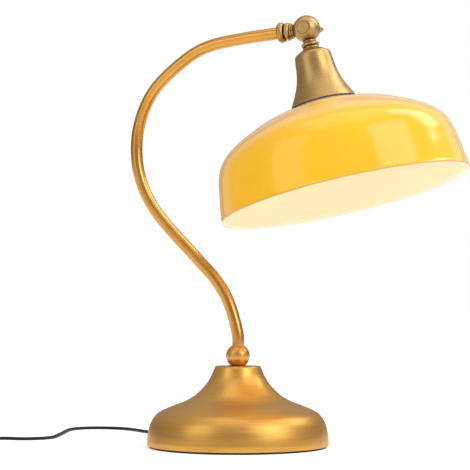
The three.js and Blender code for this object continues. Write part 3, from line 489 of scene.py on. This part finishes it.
runPoints = [
    (-108, 80.6, 8.6), (-122, 90.9, 5.4), (-135.5, 101, 2.6), (-150, 111.8), (-166, 124), (-182, 136.5),
    (-198, 147), (-214, 151), (-230, 149.5), (-244, 142.5), (-252, 129.5), (-251.5, 113), (-246, 95),
    (-238, 74), (-229.5, 51), (-221.5, 29), (-217.3, 12), (-220.2, -1.5), (-229, -12.2), (-241, -17),
    (-255, -17.5), (-268, -24),
]
exitPoint = exitAxis * cord["exitRadius"] + Vector((0, 0, cord["exitHeight"]))
run = [exitPoint, *(Vector((*point, half)[:3]) for point in runPoints)]
run += [onSwitch(-switchEnd - 16, 2.6), onSwitch(-switchEnd - gap, cordSwitch["cordHeight"])]

# the coil: in along the lower layer, up at the inmost turn, and out again on top
columnSpan = (cord["columns"] - 1) * cord["columnStep"]
outerTurn = cord["turnRadius"] + columnSpan / 2
coilSlack = 0.4
coilRim = outerTurn + cord["width"] / 2 + coilSlack
coilCentre = onSwitch(cordSwitch["coilEntry"], 0) + Vector((switchAxis.y, -switchAxis.x, 0)) * outerTurn
tangentRun = math.sqrt((coilRim + gap) ** 2 - (outerTurn - cord["width"] / 2) ** 2) + gap
entryAngle = math.atan2(-switchAxis.x, switchAxis.y) + math.pi
coilPoints = []
stepsPerTurn = 24
inTurns = cord["columns"] - 1
outTurns = 2 * inTurns
lastTurn = outTurns + (entryAngle + math.pi) % (2 * math.pi) / (2 * math.pi)
stepCount = round(lastTurn * stepsPerTurn)
for i in range(stepCount + 1):
    turn = lastTurn * i / stepCount
    angle = entryAngle - 2 * math.pi * turn
    column = min(turn, outTurns - turn) if turn < outTurns else 0
    rise = min(max((turn - inTurns + 0.1) / 0.3, 0), 1)
    radius = outerTurn - cord["columnStep"] * max(column, 0)
    height = half + cord["layerStep"] * rise * rise * (3 - 2 * rise)
    coilPoints.append(coilCentre + Vector((radius * math.cos(angle), radius * math.sin(angle), height)))
tailX, tailStart = coilCentre.x - outerTurn, coilCentre.y + tangentRun
plugStart = Vector((tailX + 2, tailStart + plug["tail"], plug["thickness"] / 2))
plugOrigin = plugStart + plugAxis * (plug["relief"] + 2 * gap)
lead = [onSwitch(switchEnd + gap, cordSwitch["cordHeight"]), onSwitch(switchEnd + 14, 3),
        onSwitch(switchEnd + 26, half), onSwitch(75, half), *coilPoints]
lead += [Vector((tailX, coilCentre.y + 11, 1.52 * cord["thickness"])),
         Vector((tailX, tailStart + 16, 1.3 * cord["thickness"]))]
beforePlug = plugStart - plugAxis * 12
lead += [Vector((beforePlug.x, beforePlug.y, plugStart.z - 1)), plugStart]


# section of the flat cord: two round conductors side by side with a shallow valley between them
def cordSection(sides=28):
    points, valley = [], []
    for i in range(sides):
        angle = 2 * math.pi * i / sides
        x = math.copysign(abs(math.cos(angle)) ** 0.8, math.cos(angle)) * cord["width"] / 2
        y = math.sin(angle) * half
        pinch = math.exp(-(x / 0.6) ** 2)
        points.append((x, y * (1 - 0.14 * pinch)))
        # the valley mask, which the cord's finish darkens as painted shade
        valley.append(pinch)
    return points, valley


def cordPiece(name, points, perSpan, replaced):
    line = [point * mm for point in spline(points, perSpan)]
    section, valley = cordSection()
    mesh = bmesh.new()
    swept(mesh, line, section, lambda ahead: ahead.cross(Vector((0, 0, 1))).normalized(), valley)
    piece = finished(name, mesh, "stand", vinyl, replaced, 60)
    return piece, line, sum((b - a).length for a, b in zip(line, line[1:]))


runPiece, runLine, runLength = cordPiece("table_cord", run, 5, ["cord_run"])
coilPiece, coilLine, coilLength = cordPiece("coiled_cord", lead, 3, ["cord_lead", "cord_coil", "cord_tail"])
print("cords:", round(runLength, 3), round(coilLength, 3), "together", round(runLength + coilLength, 3))


base = {"radius": 90, "height": 80, "wall": 1.5, "neck": 23, "rim": 1.9, "ledge": 0.9, "shelf": 3.2,
        "hole": 5.3, "pad": 87.8, "padTop": 1.6, "ball": 11.8, "ballFoot": 80.3, "ballCentre": 89.9,
        "tube": 6, "tubeSeat": 93}


def shellLine():
    out, top, neck = base["radius"], base["height"], base["neck"]
    return [tuple(p) for p in spline([
        (out, 0.088 * top), (out - 0.8, 0.181 * top), (out - 2.8, 0.275 * top), (out - 6.2, 0.358 * top),
        (out - 11.6, 0.428 * top), (out - 23.5, 0.498 * top), (out - 37.5, 0.565 * top),
        (neck + 19.8, 0.635 * top), (neck + 13.4, 0.708 * top), (neck + 8.3, 0.779 * top),
        (neck + 4.2, 0.86 * top), (neck + 1.5, 0.933 * top), (neck, top - 1.6),
    ], 5, 0)]


def baseShell():
    outer = shellLine()
    wallInside = base["radius"] - base["wall"]
    limit = wallInside - base["ledge"]
    inner = [(min(r, limit), z) for r, z in offsetLine(outer, base["wall"]) if z < base["height"] - 2]
    foot = [(base["radius"] - 0.5, base["rim"]), (base["radius"] - 0.1, base["rim"] + 0.2),
            (base["radius"], base["rim"] + 0.7)]
    neckEdge = [(base["neck"] - 0.5, base["height"] - 0.5), (base["neck"] - 1.4, base["height"]),
                (base["hole"], base["height"])]
    points = [*foot, *outer, *neckEdge, (base["hole"], base["height"] - base["wall"]), *inner[::-1],
              (limit, base["shelf"]), (wallInside, base["shelf"]), (wallInside, base["rim"])]
    turnedPiece("base_shell_spun", points, "stand", antiqueBrass, ["base_shell"], steps=160)


def baseBall():
    low = math.asin((base["ballFoot"] - base["ballCentre"]) / base["ball"])
    high = math.acos((base["tube"] + gap) / base["ball"])
    points = [*arc(base["ball"], base["ballCentre"], low, high, 22),
              (base["tube"] + gap, base["tubeSeat"] - gap), (base["hole"], base["tubeSeat"] - gap),
              (base["hole"], base["ballFoot"])]
    turnedPiece("neck_ball", points, "stand", antiqueBrass, ["base_ball"])


def footPad():
    edge = base["pad"]
    points = [(0, 0.35), (edge - 9, 0.35), (edge - 8, 0, 0.4), (edge, 0, 0.5), (edge, base["padTop"], 0.3),
              (0, base["padTop"])]
    turnedPiece("ribbed_foot_pad", rounded(points, False), "stand", footRubber, ["foot_pad"],
                steps=128, closed=False)


baseShell()
baseBall()
footPad()
print("base made")


arm = {"bow": 113, "jointX": 73.4, "jointZ": 411.7, "rise": math.radians(4.3), "radius": 6, "sides": 40,
       "straight": 16, "endDistance": 20.6, "collarNear": 16.8, "collarFar": 29.2, "bead": 10,
       "secondBead": 8.9, "collarBore": 4.45, "hubBead": 7.8, "neck": 6.4}
joint = Vector((arm["jointX"], 0, arm["jointZ"]))
armAxis = Vector((math.cos(arm["rise"]), 0, math.sin(arm["rise"])))
# outlines of pieces on the arm's end run along their own Z, which lies along the arm
armPlace = Matrix.Translation(joint * mm) @ Matrix.Rotation(math.pi / 2 - arm["rise"], 4, "Y")
armLine = [  # shares of the bow and of the rise
    (0, 0.053), (-0.097, 0.164), (-0.212, 0.228), (-0.385, 0.292), (-0.812, 0.453), (-0.956, 0.551),
    (-1, 0.648), (-0.959, 0.745), (-0.819, 0.839), (-0.469, 0.939), (-0.271, 0.968), (0.068, 0.985),
]


def armTube():
    rise = arm["jointZ"] - base["tubeSeat"]
    points = [Vector((0, 0, base["tubeSeat"]))]
    points += [Vector((x * arm["bow"], 0, base["tubeSeat"] + z * rise)) for x, z in armLine]
    points += [joint - armAxis * (arm["endDistance"] + arm["straight"]), joint - armAxis * arm["endDistance"]]
    line = [point * mm for point in spline(points, 9)]
    section = [(arm["radius"] * math.cos(a), arm["radius"] * math.sin(a))
               for a in (2 * math.pi * i / arm["sides"] for i in range(arm["sides"]))]
    mesh = bmesh.new()
    swept(mesh, line, section, lambda ahead: Vector((0, 1, 0)))
    finished("arm_bent_tube", mesh, "stand", armBrass, ["arm_tube"])


def armCollar():
    far, near, sleeve = arm["collarFar"], arm["collarNear"], arm["radius"] + gap
    bead, second, bore = arm["bead"], arm["secondBead"], arm["collarBore"]
    points = [
        (sleeve, -far), (bead - 1.2, -far, 0.6), (bead, -far + 1.6, 1.6), (bead, -far + 4.6, 1.6),
        (bead - 1.4, -far + 6.2, 0.5), (sleeve + 0.4, -far + 6.6, 0.3), (sleeve + 0.4, -far + 7.4, 0.3),
        (second - 0.8, -far + 7.8, 0.4), (second, -near - 3.4, 1), (second, -near - 1.2, 1),
        (second - 1.2, -near, 0.4), (bore, -near), (bore, -arm["endDistance"] + gap),
        (sleeve, -arm["endDistance"] + gap),
    ]
    turnedPiece("arm_bead_collar", rounded(points), "stand", agedBrass,
                ["arm_collar"], armPlace)


armTube()
armCollar()
print("arm made")


swivel = {"radius": 13.4, "face": 7.75, "halfGap": 0.15, "pocket": 8.4, "pocketDepth": 4.5, "bore": 2.8,
          "hubBore": 4.15, "ringTop": 14.3, "ringBottom": 18.1, "ringRadius": 8.8, "stemEnd": 31, "pipe": 5}
key = {"shank": 2.5, "reach": 32, "boss": 4.2, "width": 17, "thickness": 2.6, "angle": math.radians(55)}
headTilt = math.radians(13.5)
headPlace = Matrix.Translation(joint * mm) @ Matrix.Rotation(-headTilt, 4, "Y")
faceDepth = math.sqrt(swivel["radius"] ** 2 - swivel["face"] ** 2)


# half of the ball, with a pocket inside and a narrow groove near the edge of its flat face
def halfBall(mesh, place):
    inside, face, pocket, depth = swivel["halfGap"], swivel["face"], swivel["pocket"], swivel["pocketDepth"]
    start = math.asin(inside / swivel["radius"])
    end = math.asin(faceDepth / swivel["radius"])
    ball = arc(swivel["radius"], 0, start, end, 20)
    sleeve = key["shank"] + 1.6
    points = [
        (0, inside), (key["shank"] + gap, inside), (sleeve, inside), (sleeve, depth), (pocket, depth),
        (pocket, inside), *ball[:-1], (face + 0.35, faceDepth - 0.2), (face - 0.2, faceDepth),
        (face - 1.1, faceDepth), (face - 1.35, faceDepth - 0.35), (face - 1.7, faceDepth - 0.35),
        (face - 1.95, faceDepth), (0, faceDepth),
    ]
    turned(mesh, points, False, 96, place)


def armHalf():
    mesh = bmesh.new()
    halfBall(mesh, Matrix.Translation(joint * mm) @ Matrix.Rotation(math.pi / 2, 4, "X"))
    near, neck, bead = arm["collarNear"], arm["neck"], arm["hubBead"]
    bore, hubBore, ball = swivel["bore"], swivel["hubBore"], swivel["radius"]
    hub = [
        (bore, -near + 3.0), (hubBore, -near - 6.6), (hubBore, -near + gap), (bead - 0.5, -near + gap, 0.3),
        (bead, -near + 1.1, 0.5), (bead - 0.4, -near + 2.1, 0.4), (neck, -near + 2.5, 0.3),
        (neck, -ball + 0.9), (neck, -ball - 0.75), (bore, -ball - 0.75),
    ]
    turned(mesh, rounded(hub), True, 64, armPlace)
    finished("swivel_half_near", mesh, "stand", agedBrass, ["swivel_arm_half"])


def headHalf():
    mesh = bmesh.new()
    halfBall(mesh, Matrix.Translation(joint * mm) @ Matrix.Rotation(-math.pi / 2, 4, "X"))
    ring, neck, end, pipe = swivel["ringTop"], arm["neck"], swivel["stemEnd"], swivel["pipe"]
    bore, inner = swivel["bore"], -swivel["radius"] + 1.0
    stem = [(bore, -end), (pipe - 0.5, -end), (pipe, -end + 0.6)]
    stem += [(pipe - (0.35 if i % 2 else 0), -end + 1 + 0.45 * i) for i in range(1, 24)]
    stem += [(pipe, -ring), (neck, -ring + gap, 0.2), (neck, inner), (bore, inner)]
    turned(mesh, rounded(stem), True, 64, headPlace)
    finished("swivel_half_far", mesh, "head", agedBrass, ["swivel_head_half"])


def neckRing():
    hole, edge = swivel["pipe"] + gap, swivel["ringRadius"]
    top, low = swivel["ringTop"] + gap, swivel["ringBottom"]
    points = [(hole, -top), (edge - 1, -top, 0.5), (edge, -top - 1.2, 0.9), (edge, -low + 1.1, 0.9),
              (edge - 1, -low, 0.5), (hole, -low)]
    turnedPiece("beaded_neck_ring", rounded(points), "head", agedBrass,
                ["neck_ring"], headPlace)


def thumbKey():
    place = Matrix.Translation(joint * mm) @ Matrix.Rotation(key["angle"], 4, "Y")
    along = place @ Matrix.Rotation(-math.pi / 2, 4, "X")
    start = faceDepth + 2 * gap + 1.8 + gap
    wing = start + 2.6
    shank, boss, tip = key["shank"], key["boss"], -faceDepth + 4
    mesh = bmesh.new()
    turned(mesh, rounded([
        (0, tip), (shank, tip, 0.4), (shank, start), (boss, start, 0.4), (boss, wing, 0.9),
        (boss - 1.4, wing + 1.2, 0.4), (0, wing + 1.2),
    ], False), False, 48, along)
    wide, thick, reach = key["width"] / 2, key["thickness"] / 2, key["reach"]
    outline = rounded([
        (-boss + 0.7, wing - 0.8), (boss - 0.7, wing - 0.8), (wide - 0.4, wing + 4.2, 2.5),
        (wide, reach, 3.4), (0, reach - 2, 5), (-wide, reach, 3.4), (-wide + 0.4, wing + 4.2, 2.5),
    ], True, 6)
    old = set(mesh.verts)
    rim = [mesh.verts.new((-thick * mm, y * mm, x * mm)) for x, y in outline]
    face = mesh.faces.new(rim)
    grown = bmesh.ops.extrude_face_region(mesh, geom=[face])["geom"]
    moved = [vert for vert in grown if isinstance(vert, bmesh.types.BMVert)]
    bmesh.ops.translate(mesh, verts=moved, vec=(2 * thick * mm, 0, 0))
    sides = [edge for edge in mesh.edges if edge.verts[0] not in old and len(edge.link_faces) == 2
             and edge.calc_face_angle(0) > 1.2]
    bmesh.ops.bevel(mesh, geom=sides, offset=0.7 * mm, segments=3, affect="EDGES", profile=0.5, material=-1)
    bmesh.ops.transform(mesh, matrix=place, verts=[vert for vert in mesh.verts if vert not in old])
    finished("wing_key", mesh, "key", agedBrass, ["thumb_key"])


armHalf()
headHalf()
neckRing()
thumbKey()
print("swivel made")


# heights run down the head's axis from the joint
head = {"cupTop": 19, "cupBottom": 76.4, "cupWall": 1.4, "flange": 8.3, "shoulder": 17.8, "barrel": 19.4,
        "mouth": 32.8, "cap": 15, "holderTop": 29, "split": 54, "holderEnd": 88, "holderWall": 1.8,
        "stemHole": 5.3, "screwShell": 13.9, "shellWall": 0.3, "threadPitch": 3.6}


def socketCup():
    top, low, shoulder, barrel = head["cupTop"], head["cupBottom"], head["shoulder"], head["barrel"]
    line = [tuple(p) for p in spline([
        (shoulder, -top - 8.2), (shoulder + 0.8, -top - 14), (shoulder + 1.5, -top - 21),
        (shoulder + 2.6, -top - 28), (barrel + 2.9, -low + 22.4), (barrel + 5.2, -low + 16.4),
        (barrel + 8, -low + 10.4), (barrel + 11, -low + 4.8), (head["mouth"], -low),
    ], 5, 0)]
    inner = offsetLine(line, -head["cupWall"])
    inner[-1] = (head["mouth"] - head["cupWall"], -low)
    crown = rounded([
        (head["stemHole"], -top), (head["flange"] - 0.4, -top, 0.3), (head["flange"], -top - 1.6, 0.4),
        (shoulder - 1, -top - 6.6, 1.2), line[0],
    ], False)
    roof = [(shoulder - head["cupWall"] - 0.6, -top - 8.4), (head["flange"], -top - 3.3),
            (head["stemHole"], -top - 3.3)]
    points = [*crown, *line[1:], *inner[::-1], *roof]
    turnedPiece("spun_socket_cup", points, "head", agedBrass, ["socket_cup"], headPlace, 128)


def lampholder():
    cap, top, split, low = head["cap"], head["holderTop"], head["split"], head["holderEnd"]
    barrel, wall, hub = head["barrel"], head["holderWall"], head["stemHole"]
    capPoints = [
        (hub, -top), (cap - 4, -top, 1.5), (cap, -top - 4, 1.5), (cap, -split + gap, 0.3),
        (cap - wall, -split + gap), (cap - wall, -top - 5), (cap - 5, -top - wall), (hub, -top - wall),
    ]
    turnedPiece("lampholder_cap", rounded(capPoints), "head", holderPlastic,
                ["holder_cap"], headPlace, 64)
    inner = barrel - wall
    thread = [(barrel - (0.45 if i % 2 else 0), -split - 5 - 0.9 * i) for i in range(1, 31)]
    barrelPoints = [
        (cap - 5, -split), (cap, -split), (barrel, -split - 4), *thread, (barrel, -low + 0.3),
        (barrel - 0.3, -low), (inner + 0.3, -low), (inner, -low + 0.3), (inner, -split - 5.4),
        (cap - 2, -split - wall), (cap - 5, -split - wall),
    ]
    turnedPiece("lampholder_barrel", barrelPoints, "head", holderPlastic,
                ["holder_barrel"], headPlace, 64)
    shellTop, shellEnd = split + 6, low - 2
    pitch, wave, steps = head["threadPitch"], 0.1, 44
    rolled = []
    for i in range(steps + 1):
        height = shellTop + (shellEnd - shellTop) * i / steps
        rolled.append((head["screwShell"] + wave - wave * math.cos(2 * math.pi * height / pitch), -height))
    points = [*rolled, *((r + head["shellWall"], z) for r, z in rolled[::-1])]
    turnedPiece("rolled_screw_shell", points, "head", rawBrass, ["screw_shell"], headPlace, 64)


glassShape = {"top": 77.3, "height": 94.2, "wall": 3, "hole": 20.2, "rim": 123.2}
glassLine = [  # shares of the way from hole to rim, and of the height
    (0, 0.004), (0.12, 0.011), (0.221, 0.042), (0.328, 0.071), (0.45, 0.117), (0.566, 0.177),
    (0.681, 0.241), (0.775, 0.305), (0.85, 0.376), (0.908, 0.464), (0.943, 0.581), (0.961, 0.697),
    (0.976, 0.804), (0.996, 0.984),
]


def glassShade():
    top, tall, wall = glassShape["top"], glassShape["height"], glassShape["wall"]
    hole, rim = glassShape["hole"], glassShape["rim"]
    outline = [(hole + x * (rim - hole), -top - y * tall) for x, y in glassLine]
    outer = [tuple(p) for p in spline(outline, 6, 0)]
    inner = offsetLine(outer, -wall)
    inner[0] = (hole, inner[0][1])
    end = -top - tall
    edge = [(rim, end + 1.0), (rim - 0.2, end + 0.45), (rim - 0.7, end + 0.1), (rim - 1.4, end),
            (rim - wall + 0.9, end + 0.05), (rim - wall + 0.35, end + 0.4)]
    mesh = bmesh.new()
    turned(mesh, [*outer, *edge, *inner[::-1]], True, 160, headPlace)
    layer, along = mesh.verts.layers.float.new("layer"), mesh.verts.layers.float["along"]
    outside = (sum(math.dist(a, b) for a, b in zip(outer, outer[1:])) + 1.6) * mm  # to the lip's middle
    rimLayer = mesh.verts.layers.float.new("rim")
    for vert in mesh.verts:
        past = (vert[along] - outside) / mm
        vert[layer] = 0.0 if past < 0 else 1.0
        vert[rimLayer] = 1.0 if -1.2 < past < 2.3 else 0.0
    finished("cased_glass_shade", mesh, "head", glass, ["glass_shade"])


def shadeFixings():
    barrel = head["barrel"] + gap
    rings = {
        "upper_gasket": ("silicone", siliconeRubber), "upper_shade_ring": ("holder_plastic", holderPlastic),
        "lower_gasket": ("silicone", siliconeRubber), "lower_shade_ring": ("holder_plastic", holderPlastic),
    }
    inverse = headPlace.inverted()
    for name, (slot, look) in rings.items():
        corners = [inverse @ vert.co for vert in nodes[name].data.vertices]
        top, bottom = max(c.z for c in corners) / mm, min(c.z for c in corners) / mm
        edge = max(math.hypot(c.x, c.y) for c in corners) / mm
        soft = min(0.35, (top - bottom) / 3)
        points = rounded([(barrel, bottom), (edge, bottom, soft), (edge, top, soft), (barrel, top)])
        turnedPiece(name + "_moulded", points, "head", look, [name], headPlace, 72)


bulb = {"cap": 13, "radius": 22.5, "end": 138, "capEnd": 87, "wall": 0.9, "thread": 0.35, "threadStep": 0.45}


def bulbPieces():
    inverse = headPlace.inverted()
    corners = [inverse @ vert.co for vert in nodes["bulb_cap"].data.vertices]
    top = max(c.z for c in corners) / mm
    cap, end, deep, pitch = bulb["cap"], -bulb["capEnd"], bulb["thread"], bulb["threadStep"]
    threadTop = top - 5.2
    thread = [(cap - deep + deep * math.cos(2 * math.pi * i / 8), threadTop - i * pitch)
              for i in range(int((threadTop - end - 1) / pitch))]
    inner = cap - 1.1
    points = [(0, top), (3.6, top), (4, top - 0.4), (cap - 2, top - 4), (cap - 0.2, top - 5), *thread,
              (cap, end), (inner, end), (inner, top - 5.8), (4, top - 0.95), (0, top - 0.95)]
    turnedPiece("threaded_bulb_cap", points, "head", steel, ["bulb_cap"], headPlace, 64, False)
    centre, throat, radius = bulb["end"] - bulb["radius"], cap - 0.6, bulb["radius"]
    start = math.acos(throat / radius)
    outer = [(throat, end - gap), (throat + 0.02, -centre + radius * math.sin(start) + 2.5),
             *arc(radius, -centre, start - 0.12, -math.pi / 2, 30)]
    shell = offsetLine(outer, -bulb["wall"])
    shell[0], shell[-1] = (throat - bulb["wall"], outer[0][1]), (0, outer[-1][1] + bulb["wall"])
    turnedPiece("frosted_bulb", [*shell[::-1], *outer], "head", opal,
                ["bulb_globe"], headPlace, 72, False)


socketCup()
lampholder()
glassShade()
shadeFixings()
bulbPieces()
print("head made")


gland = {"bore": 2.5, "inside": 87.6, "radius": 5.4, "tip": 3.5, "face": 90.8, "end": 115, "ribs": 6}
glandPlace = Matrix.Translation((0, 0, cord["exitHeight"] * mm)) @ Matrix.Rotation(cord["exitAngle"], 4, "Z")
glandPlace = glandPlace @ Matrix.Rotation(math.pi / 2, 4, "Y")


# a tapering sleeve with a narrow groove between each two ribs
def ribbedTaper(start, end, wide, narrow, ribs):
    points, pitch = [], (end - start) / ribs
    for i in range(ribs):
        near = start + pitch * i
        radius = wide + (narrow - wide) * i / (ribs - 1)
        points += [(radius, near + 0.12 * pitch, 0.35), (radius - 0.05, near + 0.72 * pitch, 0.35),
                   (radius - 0.75, near + 0.8 * pitch, 0.2), (radius - 0.75, near + 0.98 * pitch, 0.2)]
    points[-1] = (narrow - 0.1, end)
    points.insert(-1, (narrow, end - 0.3))
    return points[:-4] + points[-2:]


def strainRelief():
    inside, face, radius = gland["inside"], gland["face"], gland["radius"]
    taper = ribbedTaper(face + 2.4, gland["end"], radius - 0.2, gland["tip"], gland["ribs"])
    points = [
        (gland["bore"], inside - 2.4), (radius + 1.8, inside - 2.4, 0.3), (radius + 1.8, inside - 1.1, 0.3),
        (radius, inside - 1.1), (radius, face), (radius + 1.5, face, 0.3), (radius + 1.5, face + 1.6, 0.7),
        (radius - 0.2, face + 2.2, 0.3), *taper, (gland["bore"], gland["end"]),
    ]
    turnedPiece("ribbed_strain_relief", rounded(points), "stand", blackPlastic,
                ["cord_strain_relief"], glandPlace, 48)


def plugRelief():
    place = Matrix.Translation(plugOrigin * mm) @ Matrix.Rotation(plug["heading"], 4, "Z")
    place = place @ Matrix.Rotation(math.pi / 2, 4, "Y")
    taper = ribbedTaper(-0.3 - gap, -plug["relief"], 4.8, 3.5, 6)
    points = [(0, -gap), (4.8, -gap, 0.3), *taper, (0, -plug["relief"])]
    return turnedPiece("ribbed_plug_relief", rounded(points, False), "stand", blackPlastic,
                       ["plug_strain_relief"], place, 48, False)


# a CAD node's own shape with its edges rounded over
def softened(name, body, slot, look, edge, segments=2):
    mesh = bmesh.new()
    mesh.from_mesh(nodes[name].data)
    bmesh.ops.remove_doubles(mesh, verts=mesh.verts, dist=0.01 * mm)
    bmesh.ops.dissolve_limit(mesh, angle_limit=math.radians(1), verts=mesh.verts, edges=mesh.edges)
    bmesh.ops.recalc_face_normals(mesh, faces=mesh.faces)
    hard = [e for e in mesh.edges if len(e.link_faces) == 2 and e.calc_face_angle(0) > math.radians(35)]
    bmesh.ops.bevel(mesh, geom=hard, offset=edge * mm, segments=segments, affect="EDGES", profile=0.5,
                    material=-1, clamp_overlap=True)
    along = mesh.verts.layers.float.new("along")
    for vert in mesh.verts:
        vert[along] = vert.co.x + vert.co.z
    return finished(name + "_finished", mesh, body, look, [name], 45)


softPieces = {  # body, slot, finish, and how far its edges are rounded
    "switch_lower_housing": ("stand", "black_plastic", blackPlastic, 0.5),
    "switch_upper_housing": ("stand", "black_plastic", blackPlastic, 0.5),
    "switch_rocker": ("rocker", "black_plastic", blackPlastic, 0.4),
    "coil_tie": ("stand", "black_plastic", blackPlastic, 0.3),
    "plug_body": ("stand", "black_plastic", blackPlastic, 0.5),
    "plug_pin_1": ("stand", "steel", steel, 0.3),
    "plug_pin_2": ("stand", "steel", steel, 0.3),
    "switch_screw_1": ("stand", "steel", steel, 0.15),
    "switch_screw_2": ("stand", "steel", steel, 0.15),
    "key_washer": ("key", "raw_brass", rawBrass, 0.15),
    "spring_washer": ("key", "steel", steel, 0.15),
    "cup_nut": ("head", "steel", steel, 0.2),
    "neck_nut": ("stand", "steel", steel, 0.2),
    "weight_nut": ("stand", "steel", steel, 0.2),
}
strainRelief()
reliefPiece = plugRelief()
made = {name: softened(name, *settings) for name, settings in softPieces.items()}
print("fittings made:", len(made))


# CAD nodes that stay and get a finish
nodeFinishes = {
    "base_plate": steel, "plate_screw_1": steel, "plate_screw_2": steel, "plate_screw_3": steel,
    "threaded_pipe": steel, "weight_washer": steel, "neck_washer": steel, "cup_washer": steel,
    "base_weight": iron, "inner_cable": vinyl, "head_leads": vinyl, "centre_contact": rawBrass,
    "switch_contact_1": rawBrass, "switch_contact_2": rawBrass,
}
for name, look in nodeFinishes.items():
    nodes[name].data.materials.clear()
    nodes[name].data.materials.append(look)
left = [name for name, node in nodes.items() if not node.hide_render and name not in nodeFinishes]
print("CAD nodes kept:", len(nodeFinishes), "without a finish:", left)
